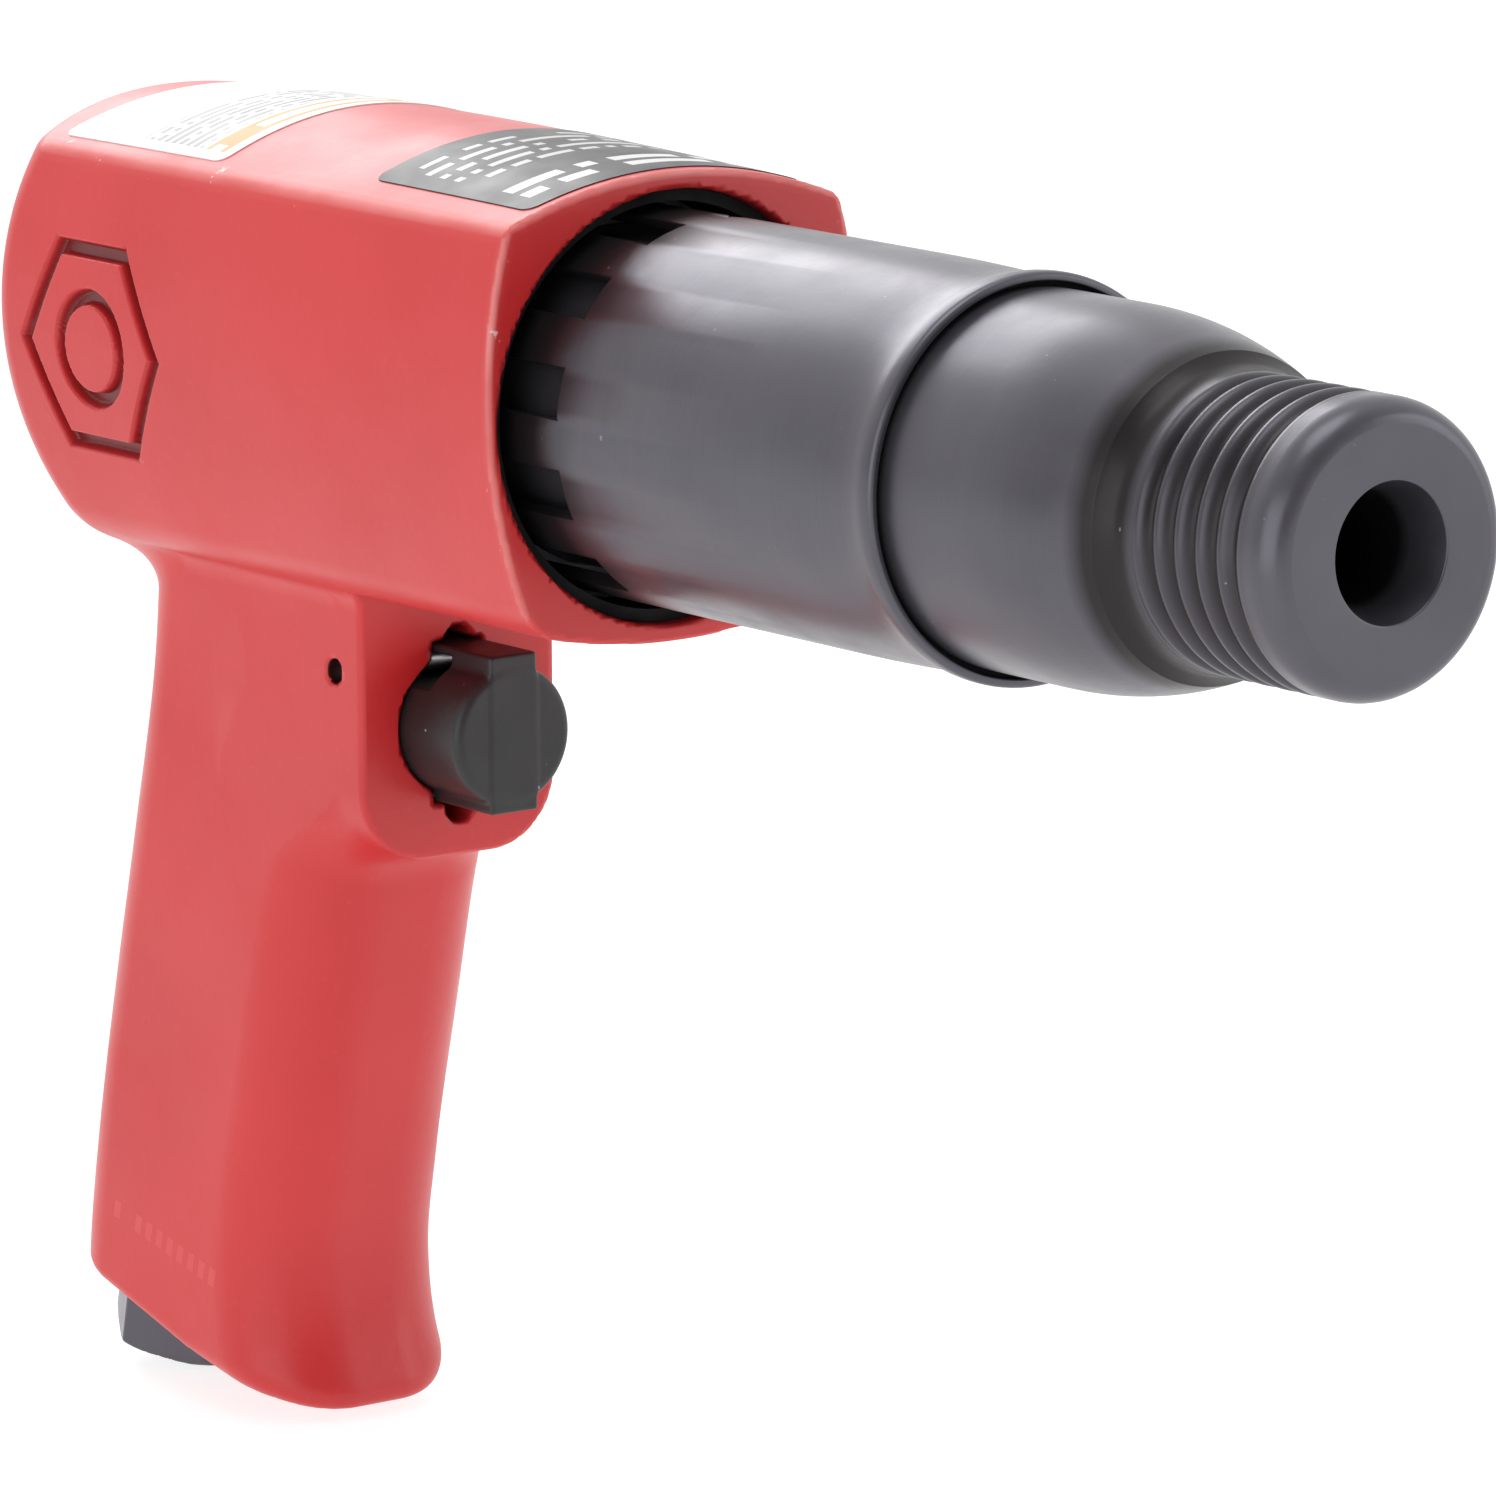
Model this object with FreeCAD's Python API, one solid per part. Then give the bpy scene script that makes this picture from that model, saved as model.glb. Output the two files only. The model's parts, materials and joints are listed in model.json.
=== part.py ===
"""Pistol-grip pneumatic air hammer, as separate solids in one frame.

Frame: millimetres, +X forward out of the nose, +Z up, origin at the centre of the flat nose face.
"""
import FreeCAD, Part
import math
import os

# ---------------------------------------------------------------- driving dimensions (mm)
# Barrel
NOSE_HOLE_R = 7.66
SHANK_BORE_R = 5.15
SHANK_TAPER_LENGTH = 9.0
NOSE_FACE_R = 13.6
NOSE_EDGE_LENGTH = 3.5
THREAD_CREST_R = 16.25
THREAD_ROOT_R = 15.1
THREAD_PITCH = 3.45
THREAD_TURNS = 5
THREAD_FIRST_ROOT = -6.9
THREAD_END = -23.2
SHOULDER_EDGE = -27.6
SHOULDER_EDGE_R = 18.1
BARREL_START = -46.0
BARREL_R = 21.1
BARREL_STEP = -63.0
BARREL_WAIST_R = 19.6
BARREL_THREAD_FRONT = -138.0
BARREL_THREAD_REAR = -164.0
BARREL_THREAD_R = 20.0
BARREL_TAIL_R = 17.9
BARREL_REAR = -180.0
CHAMBER_FRONT = -42.0
CHAMBER_R = 9.55
EXHAUST_PORT_X = -112.0
EXHAUST_PORT_R = 2.6
EXHAUST_PORTS = 6

# Piston
PISTON_R = 9.5
PISTON_LENGTH = 46.0
PISTON_REAR = -179.0
PISTON_CHAMFER = 1.5

# Exhaust sleeve and the rings beside it
SLEEVE_FRONT = -59.1
SLEEVE_REAR = -134.0
SLEEVE_R = 22.46
SLEEVE_LIP_R = 22.8
SLEEVE_BORE_R = 21.75
SLEEVE_SEAT_FRONT = -63.2
SLEEVE_SEAT_REAR = -67.0
SLEEVE_SEAT_R = 19.7
SLEEVE_NOTCHES = 12
SLEEVE_NOTCH_FRONT = -116.5
SLEEVE_NOTCH_ANGLE = 15.0
SLEEVE_NOTCH_PHASE = 18.0
DEFLECTOR_FRONT = -126.0
DEFLECTOR_REAR = -135.7
DEFLECTOR_R = 24.75
DEFLECTOR_BORE_R = 23.3
LOCK_RING_FRONT = -135.8
LOCK_RING_REAR = -137.7

# Housing
HOUSING_FRONT = -124.0
HOUSING_REAR = -235.0
MOUTH_R = 24.83
TOP_CORNER = (23.4, 22.33)
TOP_RISE = 4.61
TOP_EXTRA_RISE = 1.55
TOP_HIGHEST = -176.0
TOP_HALF_LENGTH = 52.0
SIDE_HALF_WIDTH = 26.3
LOWER_CORNER = (20.5, -24.1)
BELLY = -26.85
REAR_TOP = (-227.0, 24.0)
REAR_MIDDLE = (-233.0, 0.0)
REAR_LOWER = (-215.0, -31.0)
REAR_DOME_R = 42.0
TOP_EDGE_RADIUS = 1.2
LOWER_EDGE_RADIUS = 2.8
VALVE_BORE_R = 18.0
VALVE_BORE_REAR = -202.0
AIR_CHAMBER_R = 14.0
AIR_CHAMBER_REAR = -220.0

# Trigger boss and neck
BOSS_FRONT = -167.0
BOSS_HALF_WIDTH = 13.9
BOSS_BOTTOM = -58.5
BOSS_CORNER_R = 9.0
NECK_FLARE_R = 6.0
NECK_FLARE_TOP = -25.0
TRIGGER_Z = -42.7

# Grip: (z, rear x, front x, half width, rear corner radius, front corner radius)
GRIP_SECTIONS = [
    (-27.0, -214.6, -168.0, 14.4, 9.0, 5.0),
    (-40.0, -216.6, -170.0, 13.8, 9.0, 5.0),
    (-61.0, -220.5, -175.2, 14.2, 9.0, 10.5),
    (-80.0, -224.7, -180.6, 14.5, 9.0, 11.0),
    (-100.0, -229.1, -185.6, 14.5, 9.0, 11.0),
    (-114.0, -231.4, -187.7, 14.6, 9.0, 11.0),
    (-124.0, -232.2, -185.6, 14.9, 9.0, 11.5),
    (-134.0, -233.0, -181.5, 15.2, 9.0, 12.0),
]
GRIP_BASE_REAR = (-231.8, -116.0)
GRIP_BASE_FRONT = (-196.0, -126.0)
GRIP_TOE = (-182.5, -123.8)

# Air inlet
INLET_TILT = 12.0
INLET_MOUTH = (-224.0, -127.4)
INLET_HEX_FLATS = 19.05
INLET_HEX_LENGTH = 9.5
INLET_SPIGOT_R = 8.5
INLET_SPIGOT_LENGTH = 16.0
INLET_HOLE_R = 5.7
INLET_HOLE_LENGTH = 15.0
INLET_SEAL_THICKNESS = 1.6
INLET_COUNTERBORE_R = 11.8
INLET_NARROW_R = 4.8
SCREEN_R = 4.75
SCREEN_WALL = 0.6
PASSAGE_R = 4.5

# Trigger and throttle valve, all on one line behind the trigger
TRIGGER_TRAVEL = 7.0
BUTTON_FACE = -156.0
BUTTON_REAR = -182.0
BUTTON_R = 8.27
BUTTON_BORE_R = 8.35
BUTTON_HEAD_R = 8.25
BUTTON_HEAD_REAR = -165.5
BUTTON_EDGE_R = 1.0
BUTTON_FIN_TOP = 9.7
BUTTON_FIN_BOTTOM = 9.0
BUTTON_FIN_WIDTH = 6.6
BUTTON_FIN_REAR = -176.0
BUTTON_SLOT_GAP = 0.35
BUTTON_GROOVE_GAP = 0.3
PIN_X = -172.6
PIN_Z = -35.8
PIN_R = 1.4
PIN_HALF_LENGTH = 11.6
BUSHING_FRONT = -189.6
BUSHING_REAR = -196.0
BUSHING_R = 8.3
GALLERY_X = -193.4
GALLERY_R = 2.4
STEM_R = 2.0
STEM_BORE_R = 2.06
BUSHING_POCKET_R = 3.6
BUSHING_GROOVE = (-190.6, -192.0)
BUSHING_GROOVE_R = 7.1
BUSHING_PORT_R = 2.0
VALVE_HEAD_R = 5.4
VALVE_HEAD_LENGTH = 2.6
VALVE_SEAL_THICKNESS = 1.2
THROTTLE_CHAMBER_R = 7.0
THROTTLE_CHAMBER_REAR = -211.5
SPRING_R = 4.0
SPRING_WIRE_R = 0.35
SPRING_TURNS = 5

# Distribution valve
CASE_R = 17.9
CASE_FRONT = -180.1
CASE_SPLIT = -188.0
CASE_REAR = -200.0
DISC_R = 12.0
DISC_CAVITY_R = 12.08
DISC_THICKNESS = 2.0
DISC_TRAVEL = 1.5
CASE_PIN_R = 1.25
CASE_PIN_RADIUS = 15.0
CASE_PIN_HALF_LENGTH = 4.6
CASE_MOUTH_R = 6.0
CASE_CENTRE_HOLE_R = 3.0
CASE_PORT_R = 1.8
CASE_PORT_RADIUS = 8.0
CASE_PORTS = 6
DISC_HOLE_R = 2.2

# Labels on the crowned top
LABEL_THICKNESS = 0.15
WARNING_LABEL = (-216.8, -183.7, 21.1)
RATING_PLATE = (-155.7, -125.7, 19.3)

X_AXIS = FreeCAD.Vector(1, 0, 0)
Y_AXIS = FreeCAD.Vector(0, 1, 0)
Z_AXIS = FreeCAD.Vector(0, 0, 1)


# ---------------------------------------------------------------- helpers
def vec(x, y, z):
    return FreeCAD.Vector(x, y, z)


def turned(points):
    """Solid of revolution about the X axis from a closed outline of (x, r) points."""
    corners = [vec(x, 0, r) for x, r in points]
    outline = Part.makePolygon(corners + [corners[0]])
    return Part.Face(outline).revolve(vec(0, 0, 0), X_AXIS, 360)


def rod(x_front, x_rear, radius, y=0.0, z=0.0):
    """Round bar along X, from x_front back to x_rear."""
    return Part.makeCylinder(radius, x_front - x_rear, vec(x_rear, y, z), X_AXIS)


def ring(x_front, x_rear, outer, inner, y=0.0, z=0.0):
    """Tube along X."""
    return rod(x_front, x_rear, outer, y, z).cut(rod(x_front + 1, x_rear - 1, inner, y, z))


def block(x0, x1, y0, y1, z0, z1):
    return Part.makeBox(x1 - x0, y1 - y0, z1 - z0, vec(x0, y0, z0))


def arc(first, middle, last):
    return Part.Arc(vec(*first), vec(*middle), vec(*last)).toShape()


def line(first, last):
    return Part.LineSegment(vec(*first), vec(*last)).toShape()


def save(shape, node):
    shape.exportStep("parts/" + node + ".step")
    print(node, len(shape.Solids), "solids, valid", shape.isValid(), "volume", round(shape.Volume))


def circle_through(first, second, third):
    """Centre and radius of the circle through three (x, z) points."""
    (ax, ay), (bx, by), (cx, cy) = first, second, third
    d = 2 * (ax * (by - cy) + bx * (cy - ay) + cx * (ay - by))
    a, b, c = ax * ax + ay * ay, bx * bx + by * by, cx * cx + cy * cy
    x = (a * (by - cy) + b * (cy - ay) + c * (ay - by)) / d
    y = (a * (cx - bx) + b * (ax - cx) + c * (bx - ax)) / d
    return x, y, math.hypot(ax - x, ay - y)


def over_crown(lift):
    """Everything more than lift above the housing's top, which swells both lengthwise and across."""
    half_width, edge_z = TOP_CORNER
    rear, front = HOUSING_REAR - 6, HOUSING_FRONT + 2
    rises = [TOP_RISE + TOP_EXTRA_RISE * (1 - ((x - TOP_HIGHEST) / TOP_HALF_LENGTH) ** 2)
             for x in (rear, (rear + front) / 2, front)]
    rises[1] = 2 * rises[1] - (rises[0] + rises[2]) / 2
    reach = SIDE_HALF_WIDTH + 1
    fall = 1 - (reach / half_width) ** 2
    surface = Part.BezierSurface()
    surface.increase(2, 2)
    for i, (x, rise) in enumerate(zip((rear, (rear + front) / 2, front), rises)):
        for j, (y, share) in enumerate(((-reach, fall), (0, 2 - fall), (reach, fall))):
            surface.setPole(i + 1, j + 1, vec(x, y, edge_z + lift + rise * share))
    return surface.toShape().extrude(vec(0, 0, 30))


# ---------------------------------------------------------------- housing
def body_block():
    """Rounded-square body: four bowed sides, cut to the domed rear."""
    yt, zt = TOP_CORNER
    yl, zl = LOWER_CORNER
    x = HOUSING_FRONT
    edges = [
        line((x, -yt, zt + 10), (x, yt, zt + 10)),
        line((x, yt, zt + 10), (x, yt, zt)),
        arc((x, yt, zt), (x, SIDE_HALF_WIDTH, 0), (x, yl, zl)),
        arc((x, yl, zl), (x, 0, BELLY), (x, -yl, zl)),
        arc((x, -yl, zl), (x, -SIDE_HALF_WIDTH, 0), (x, -yt, zt)),
        line((x, -yt, zt), (x, -yt, zt + 10)),
    ]
    bar = Part.Face(Part.Wire(edges)).extrude(vec(HOUSING_REAR - HOUSING_FRONT - 4, 0, 0))
    shape = bar.cut(over_crown(0)).common(rear_envelope())
    long_edges = [edge for edge in shape.Edges if edge.Length > 80]
    lower = [edge for edge in long_edges if edge.CenterOfMass.z < 0]
    shape = shape.makeFillet(LOWER_EDGE_RADIUS, lower)
    upper = [e for e in shape.Edges if e.Length > 80 and e.CenterOfMass.z > LOWER_CORNER[1] + 40]
    return shape.makeFillet(TOP_EDGE_RADIUS, upper)


def rear_envelope():
    """Domed rear: the side view's arc turned about a vertical axis, with a plain block in front."""
    centre_x, centre_z, radius = circle_through(REAR_TOP, REAR_MIDDLE, REAR_LOWER)
    axis_x = REAR_MIDDLE[0] + REAR_DOME_R
    low = REAR_LOWER[1]
    high = 30.0
    top_x = centre_x - math.sqrt(radius ** 2 - (high - centre_z) ** 2)
    profile = Part.Wire([
        line((axis_x, 0, high), (top_x, 0, high)),
        arc((top_x, 0, high), (REAR_MIDDLE[0], 0, REAR_MIDDLE[1]), (REAR_LOWER[0], 0, low)),
        line((REAR_LOWER[0], 0, low), (axis_x, 0, low)),
        line((axis_x, 0, low), (axis_x, 0, high)),
    ])
    dome = Part.Face(profile).revolve(vec(axis_x, 0, 0), Z_AXIS, 360)
    return dome.fuse(block(axis_x, HOUSING_FRONT + 1, -40, 40, low, high))


def grip_section(z, rear, front, half, rear_r, front_r):
    """Rounded rectangle in a level plane."""
    d = math.sqrt(0.5)
    xr, xf = rear + rear_r, front - front_r
    yr, yf = half - rear_r, half - front_r
    return Part.Wire([
        line((xr, -half, z), (xf, -half, z)),
        arc((xf, -half, z), (xf + front_r * d, -yf - front_r * d, z), (front, -yf, z)),
        line((front, -yf, z), (front, yf, z)),
        arc((front, yf, z), (xf + front_r * d, yf + front_r * d, z), (xf, half, z)),
        line((xf, half, z), (xr, half, z)),
        arc((xr, half, z), (xr - rear_r * d, yr + rear_r * d, z), (rear, yr, z)),
        line((rear, yr, z), (rear, -yr, z)),
        arc((rear, -yr, z), (xr - rear_r * d, -yr - rear_r * d, z), (xr, -half, z)),
    ])


def grip():
    """Lofted handle, cut off by a sloping base that turns up at the toe."""
    handle = Part.makeLoft([grip_section(*row) for row in GRIP_SECTIONS], True, False)
    rear = (GRIP_BASE_REAR[0] - 10, -30, GRIP_BASE_REAR[1] + 3.6)
    front = (GRIP_BASE_FRONT[0], -30, GRIP_BASE_FRONT[1])
    toe = (GRIP_TOE[0] + 8, -30, GRIP_TOE[1] + 4)
    below = Part.Wire([
        line(rear, front),
        arc(front, (GRIP_TOE[0] - 6, -30, GRIP_TOE[1] - 2.6), toe),
        line(toe, (toe[0], -30, -160)),
        line((toe[0], -30, -160), (rear[0], -30, -160)),
        line((rear[0], -30, -160), rear),
    ])
    return handle.cut(Part.Face(below).extrude(vec(0, 60, 0)))


def trigger_boss():
    """Flat-fronted boss with a round-cornered bottom, carried back into the grip."""
    r = BOSS_CORNER_R
    d = r * math.sqrt(0.5)
    y = BOSS_HALF_WIDTH
    z = BOSS_BOTTOM
    x = BOSS_FRONT
    outline = Part.Wire([
        line((x, -y, -20), (x, -y, z + r)),
        arc((x, -y, z + r), (x, -y + r - d, z + r - d), (x, -y + r, z)),
        line((x, -y + r, z), (x, y - r, z)),
        arc((x, y - r, z), (x, y - r + d, z + r - d), (x, y, z + r)),
        line((x, y, z + r), (x, y, -20)),
        line((x, y, -20), (x, -y, -20)),
    ])
    return Part.Face(outline).extrude(vec(-24, 0, 0))


def neck_flare():
    """Concave flare where the neck meets the underside of the body."""
    r = NECK_FLARE_R
    d = r * (1 - math.sqrt(0.5))
    y = BOSS_HALF_WIDTH
    z = NECK_FLARE_TOP
    x = BOSS_FRONT
    outline = Part.Wire([
        line((x, -y - r, z), (x, -y - r, -15)),
        line((x, -y - r, -15), (x, y + r, -15)),
        line((x, y + r, -15), (x, y + r, z)),
        arc((x, y + r, z), (x, y + d, z - d), (x, y, z - r)),
        line((x, y, z - r), (x, -y, z - r)),
        arc((x, -y, z - r), (x, -y - d, z - d), (x, -y - r, z)),
    ])
    flare = Part.Face(outline).extrude(vec(-45, 0, 0))
    rear_cut = Part.Wire([
        line((-214, -40, -40), (-214, -40, -37)),
        arc((-214, -40, -37), (-211.5, -40, -29.5), (-205, -40, -25)),
        line((-205, -40, -25), (-205, -40, -5)),
        line((-205, -40, -5), (-160, -40, -5)),
        line((-160, -40, -5), (-160, -40, -40)),
        line((-160, -40, -40), (-214, -40, -40)),
    ])
    return flare.common(Part.Face(rear_cut).extrude(vec(0, 80, 0)))


def inlet_axis():
    """Upward unit vector of the air inlet."""
    tilt = math.radians(INLET_TILT)
    return vec(math.sin(tilt), 0, math.cos(tilt))


def inlet_rod(start, end, radius):
    """Bar on the inlet's axis, between two distances above the inlet's mouth."""
    mouth = vec(INLET_MOUTH[0], 0, INLET_MOUTH[1])
    return Part.makeCylinder(radius, end - start, mouth + inlet_axis() * start, inlet_axis())


def housing_bores():
    """Everything that is bored out of the casting."""
    z = TRIGGER_Z
    slots_rear = BUTTON_FIN_REAR - TRIGGER_TRAVEL - 1
    slot = BUTTON_FIN_WIDTH / 2 + BUTTON_GROOVE_GAP
    slot_low = z - BUTTON_FIN_BOTTOM - BUTTON_GROOVE_GAP
    slot_high = z + BUTTON_FIN_TOP + BUTTON_GROOVE_GAP
    bores = [
        rod(HOUSING_FRONT + 1, BARREL_THREAD_FRONT, MOUTH_R),
        rod(BARREL_THREAD_FRONT + 1, BARREL_THREAD_REAR, BARREL_THREAD_R + 0.05),
        rod(BARREL_THREAD_REAR + 1, VALVE_BORE_REAR, VALVE_BORE_R),
        rod(VALVE_BORE_REAR + 1, AIR_CHAMBER_REAR, AIR_CHAMBER_R),
        rod(BOSS_FRONT + 1, BUSHING_REAR, BUTTON_BORE_R, 0, z),
        block(slots_rear, BOSS_FRONT + 1, -slot, slot, slot_low, slot_high),
        rod(BUSHING_REAR + 1, THROTTLE_CHAMBER_REAR, THROTTLE_CHAMBER_R, 0, z),
        Part.makeCylinder(PIN_R + 0.05, 60, vec(PIN_X, -30, PIN_Z), Y_AXIS),
        Part.makeCylinder(GALLERY_R, 30, vec(GALLERY_X, 0, z + 4), Z_AXIS),
        inlet_rod(-20, INLET_HEX_LENGTH + INLET_SEAL_THICKNESS, INLET_COUNTERBORE_R),
        inlet_rod(0, INLET_HEX_LENGTH + INLET_SPIGOT_LENGTH + 0.5, INLET_SPIGOT_R + 0.05),
        inlet_rod(0, 92, PASSAGE_R),
    ]
    return bores


def handle_housing():
    shape = body_block().fuse([neck_flare(), grip(), trigger_boss()]).removeSplitter()
    for bore in housing_bores():
        shape = shape.cut(bore)
    return shape


# ---------------------------------------------------------------- barrel and what is on it
def nose_outline():
    """Outer outline of the nose, from the face back to the shoulder edge."""
    points = [(0, NOSE_FACE_R)]
    for step in range(1, 7):
        angle = math.radians(15 * step)
        x = -NOSE_EDGE_LENGTH * (1 - math.cos(angle))
        r = NOSE_FACE_R + (THREAD_CREST_R - NOSE_FACE_R) * math.sin(angle)
        points.append((x, r))
    for turn in range(THREAD_TURNS):
        root = THREAD_FIRST_ROOT - turn * THREAD_PITCH
        for step in range(-4, 5):
            x = root - step * THREAD_PITCH / 8
            depth = (THREAD_CREST_R - THREAD_ROOT_R) * (1 + math.cos(math.pi * step / 4)) / 2
            if step > -4:
                points.append((x, THREAD_CREST_R - depth))
            elif turn == 0:
                points.append((x, THREAD_CREST_R))
    points.append((THREAD_END - 1.2, THREAD_CREST_R + 0.15))
    points.append((SHOULDER_EDGE + 1.6, SHOULDER_EDGE_R - 0.75))
    points.append((SHOULDER_EDGE, SHOULDER_EDGE_R))
    return points


def shoulder_outline():
    """Convex shoulder that swells from the nose to the barrel."""
    points = []
    for step in range(1, 11):
        part = step / 10
        x = SHOULDER_EDGE + (BARREL_START - SHOULDER_EDGE) * part
        r = BARREL_R - (BARREL_R - SHOULDER_EDGE_R) * (1 - part) ** 2.1
        points.append((x, r))
    return points


def barrel():
    outline = nose_outline() + shoulder_outline() + [
        (BARREL_STEP, BARREL_R),
        (BARREL_STEP, BARREL_WAIST_R),
        (BARREL_THREAD_FRONT + 0.2, BARREL_WAIST_R),
        (BARREL_THREAD_FRONT + 0.2, BARREL_THREAD_R),
        (BARREL_THREAD_REAR + 1.5, BARREL_THREAD_R),
        (BARREL_THREAD_REAR + 1.5, BARREL_TAIL_R),
        (BARREL_REAR, BARREL_TAIL_R),
        (BARREL_REAR, CHAMBER_R),
        (CHAMBER_FRONT, CHAMBER_R),
        (CHAMBER_FRONT + 2.5, SHANK_BORE_R),
        (-SHANK_TAPER_LENGTH, SHANK_BORE_R),
        (0, NOSE_HOLE_R),
    ]
    shape = turned(outline)
    ports = []
    for index in range(EXHAUST_PORTS):
        angle = math.radians(360 / EXHAUST_PORTS * index)
        out = vec(0, math.cos(angle), math.sin(angle))
        ports.append(Part.makeCylinder(EXHAUST_PORT_R, 20, vec(EXHAUST_PORT_X, 0, 0) + out * 5, out))
    return shape.cut(ports)


def exhaust_sleeve():
    outline = [
        (SLEEVE_FRONT, SLEEVE_BORE_R),
        (SLEEVE_FRONT, SLEEVE_LIP_R - 0.6),
        (SLEEVE_FRONT - 0.3, SLEEVE_LIP_R - 0.15),
        (SLEEVE_FRONT - 0.9, SLEEVE_LIP_R),
        (SLEEVE_FRONT - 2.4, SLEEVE_LIP_R - 0.05),
        (SLEEVE_FRONT - 5.0, SLEEVE_R - 0.1),
        (SLEEVE_FRONT - 9.0, SLEEVE_R),
        (SLEEVE_REAR, SLEEVE_R),
        (SLEEVE_REAR, SLEEVE_BORE_R - 0.45),
        (SLEEVE_SEAT_REAR, SLEEVE_BORE_R - 0.45),
        (SLEEVE_SEAT_REAR, SLEEVE_SEAT_R),
        (SLEEVE_SEAT_FRONT, SLEEVE_SEAT_R),
        (SLEEVE_SEAT_FRONT, SLEEVE_BORE_R),
    ]
    notches = []
    for index in range(SLEEVE_NOTCHES):
        centre = SLEEVE_NOTCH_PHASE + 360 / SLEEVE_NOTCHES * index
        wedge = Part.makeCylinder(30, 30, vec(SLEEVE_NOTCH_FRONT - 30, 0, 0), X_AXIS, SLEEVE_NOTCH_ANGLE)
        across = wedge.CenterOfMass
        have = math.degrees(math.atan2(across.z, across.y))
        wedge.rotate(vec(0, 0, 0), X_AXIS, centre - have)
        notches.append(wedge)
    return turned(outline).cut(notches)


def sleeve_o_ring():
    return ring(SLEEVE_FRONT - 1.6, SLEEVE_SEAT_FRONT + 0.3, SLEEVE_BORE_R - 0.03, BARREL_R + 0.03)


def exhaust_deflector():
    return ring(DEFLECTOR_FRONT, DEFLECTOR_REAR, DEFLECTOR_R, DEFLECTOR_BORE_R)


def barrel_lock_ring():
    return ring(LOCK_RING_FRONT, LOCK_RING_REAR, DEFLECTOR_R, BARREL_WAIST_R + 0.1)


def piston():
    shape = rod(PISTON_REAR + PISTON_LENGTH, PISTON_REAR, PISTON_R)
    ends = [edge for edge in shape.Edges if abs(edge.Length - 2 * math.pi * PISTON_R) < 0.1]
    return shape.makeChamfer(PISTON_CHAMFER, ends)


# ---------------------------------------------------------------- distribution valve
def case_pin_places():
    return [(CASE_PIN_RADIUS, 0.0), (-CASE_PIN_RADIUS, 0.0)]


def valve_case_front():
    shape = ring(CASE_FRONT, CASE_SPLIT + 0.05, CASE_R, CASE_MOUTH_R)
    holes = [rod(CASE_SPLIT + 5, CASE_SPLIT - 1, CASE_PIN_R + 0.03, y, z) for y, z in case_pin_places()]
    return shape.cut(holes)


def valve_case_rear():
    shape = rod(CASE_SPLIT, CASE_REAR, CASE_R)
    depth = DISC_THICKNESS + DISC_TRAVEL
    holes = [rod(CASE_SPLIT + 1, CASE_SPLIT - depth, DISC_CAVITY_R)]
    holes.append(rod(CASE_SPLIT, CASE_REAR - 1, CASE_CENTRE_HOLE_R))
    for index in range(CASE_PORTS):
        angle = math.radians(360 / CASE_PORTS * (index + 0.5))
        y = CASE_PORT_RADIUS * math.cos(angle)
        holes.append(rod(CASE_SPLIT, CASE_REAR - 1, CASE_PORT_R, y, CASE_PORT_RADIUS * math.sin(angle)))
    for y, z in case_pin_places():
        holes.append(rod(CASE_SPLIT + 1, CASE_SPLIT - 5, CASE_PIN_R + 0.03, y, z))
    return shape.cut(holes)


def valve_case_pins():
    front = CASE_SPLIT + CASE_PIN_HALF_LENGTH
    rear = CASE_SPLIT - CASE_PIN_HALF_LENGTH
    return Part.makeCompound([rod(front, rear, CASE_PIN_R, y, z) for y, z in case_pin_places()])


def valve_disc():
    rear = CASE_SPLIT - DISC_THICKNESS - DISC_TRAVEL + 0.05
    return ring(rear + DISC_THICKNESS, rear, DISC_R, DISC_HOLE_R)


def valve_case_seal():
    return ring(CASE_REAR - 0.05, VALVE_BORE_REAR + 0.05, CASE_R - 0.1, AIR_CHAMBER_R + 0.5)


# ---------------------------------------------------------------- trigger and throttle
def trigger_button():
    z = TRIGGER_Z
    shape = rod(BUTTON_HEAD_REAR, BUTTON_REAR, BUTTON_R, 0, z)
    head = rod(BUTTON_FACE, BUTTON_HEAD_REAR, BUTTON_HEAD_R, 0, z)
    front_edges = [e for e in head.Edges if e.CenterOfMass.x > BUTTON_FACE - 0.01]
    head = head.makeFillet(BUTTON_EDGE_R, front_edges)
    half = BUTTON_FIN_WIDTH / 2
    fins = block(BUTTON_FIN_REAR, BUTTON_FACE, -half, half, z - BUTTON_FIN_BOTTOM, z + BUTTON_FIN_TOP)
    shape = shape.fuse([head, fins]).removeSplitter()
    slot_rear = PIN_X - PIN_R - BUTTON_SLOT_GAP
    slot_front = PIN_X + PIN_R + TRIGGER_TRAVEL + BUTTON_SLOT_GAP
    slot = block(slot_rear, slot_front, -20, 20, PIN_Z - PIN_R - 0.45, PIN_Z + PIN_R + 0.45)
    return shape.cut(slot)


def trigger_pin():
    return Part.makeCylinder(PIN_R, 2 * PIN_HALF_LENGTH, vec(PIN_X, -PIN_HALF_LENGTH, PIN_Z), Y_AXIS)


def throttle_bushing():
    z = TRIGGER_Z
    shape = rod(BUSHING_FRONT, BUSHING_REAR + 0.05, BUSHING_R, 0, z)
    groove = ring(BUSHING_GROOVE[0], BUSHING_GROOVE[1], BUSHING_R + 1, BUSHING_GROOVE_R, 0, z)
    holes = [
        rod(BUSHING_FRONT + 1, BUSHING_REAR - 1, STEM_BORE_R, 0, z),
        rod(GALLERY_X + GALLERY_R, BUSHING_REAR - 1, BUSHING_POCKET_R, 0, z),
        Part.makeCylinder(BUSHING_PORT_R, 12, vec(GALLERY_X, 0, z), Z_AXIS),
    ]
    return shape.cut([groove] + holes)


def bushing_o_ring():
    front = BUSHING_GROOVE[0] - 0.05
    rear = BUSHING_GROOVE[1] + 0.05
    return ring(front, rear, BUTTON_BORE_R - 0.02, BUSHING_GROOVE_R + 0.03, 0, TRIGGER_Z)


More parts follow.
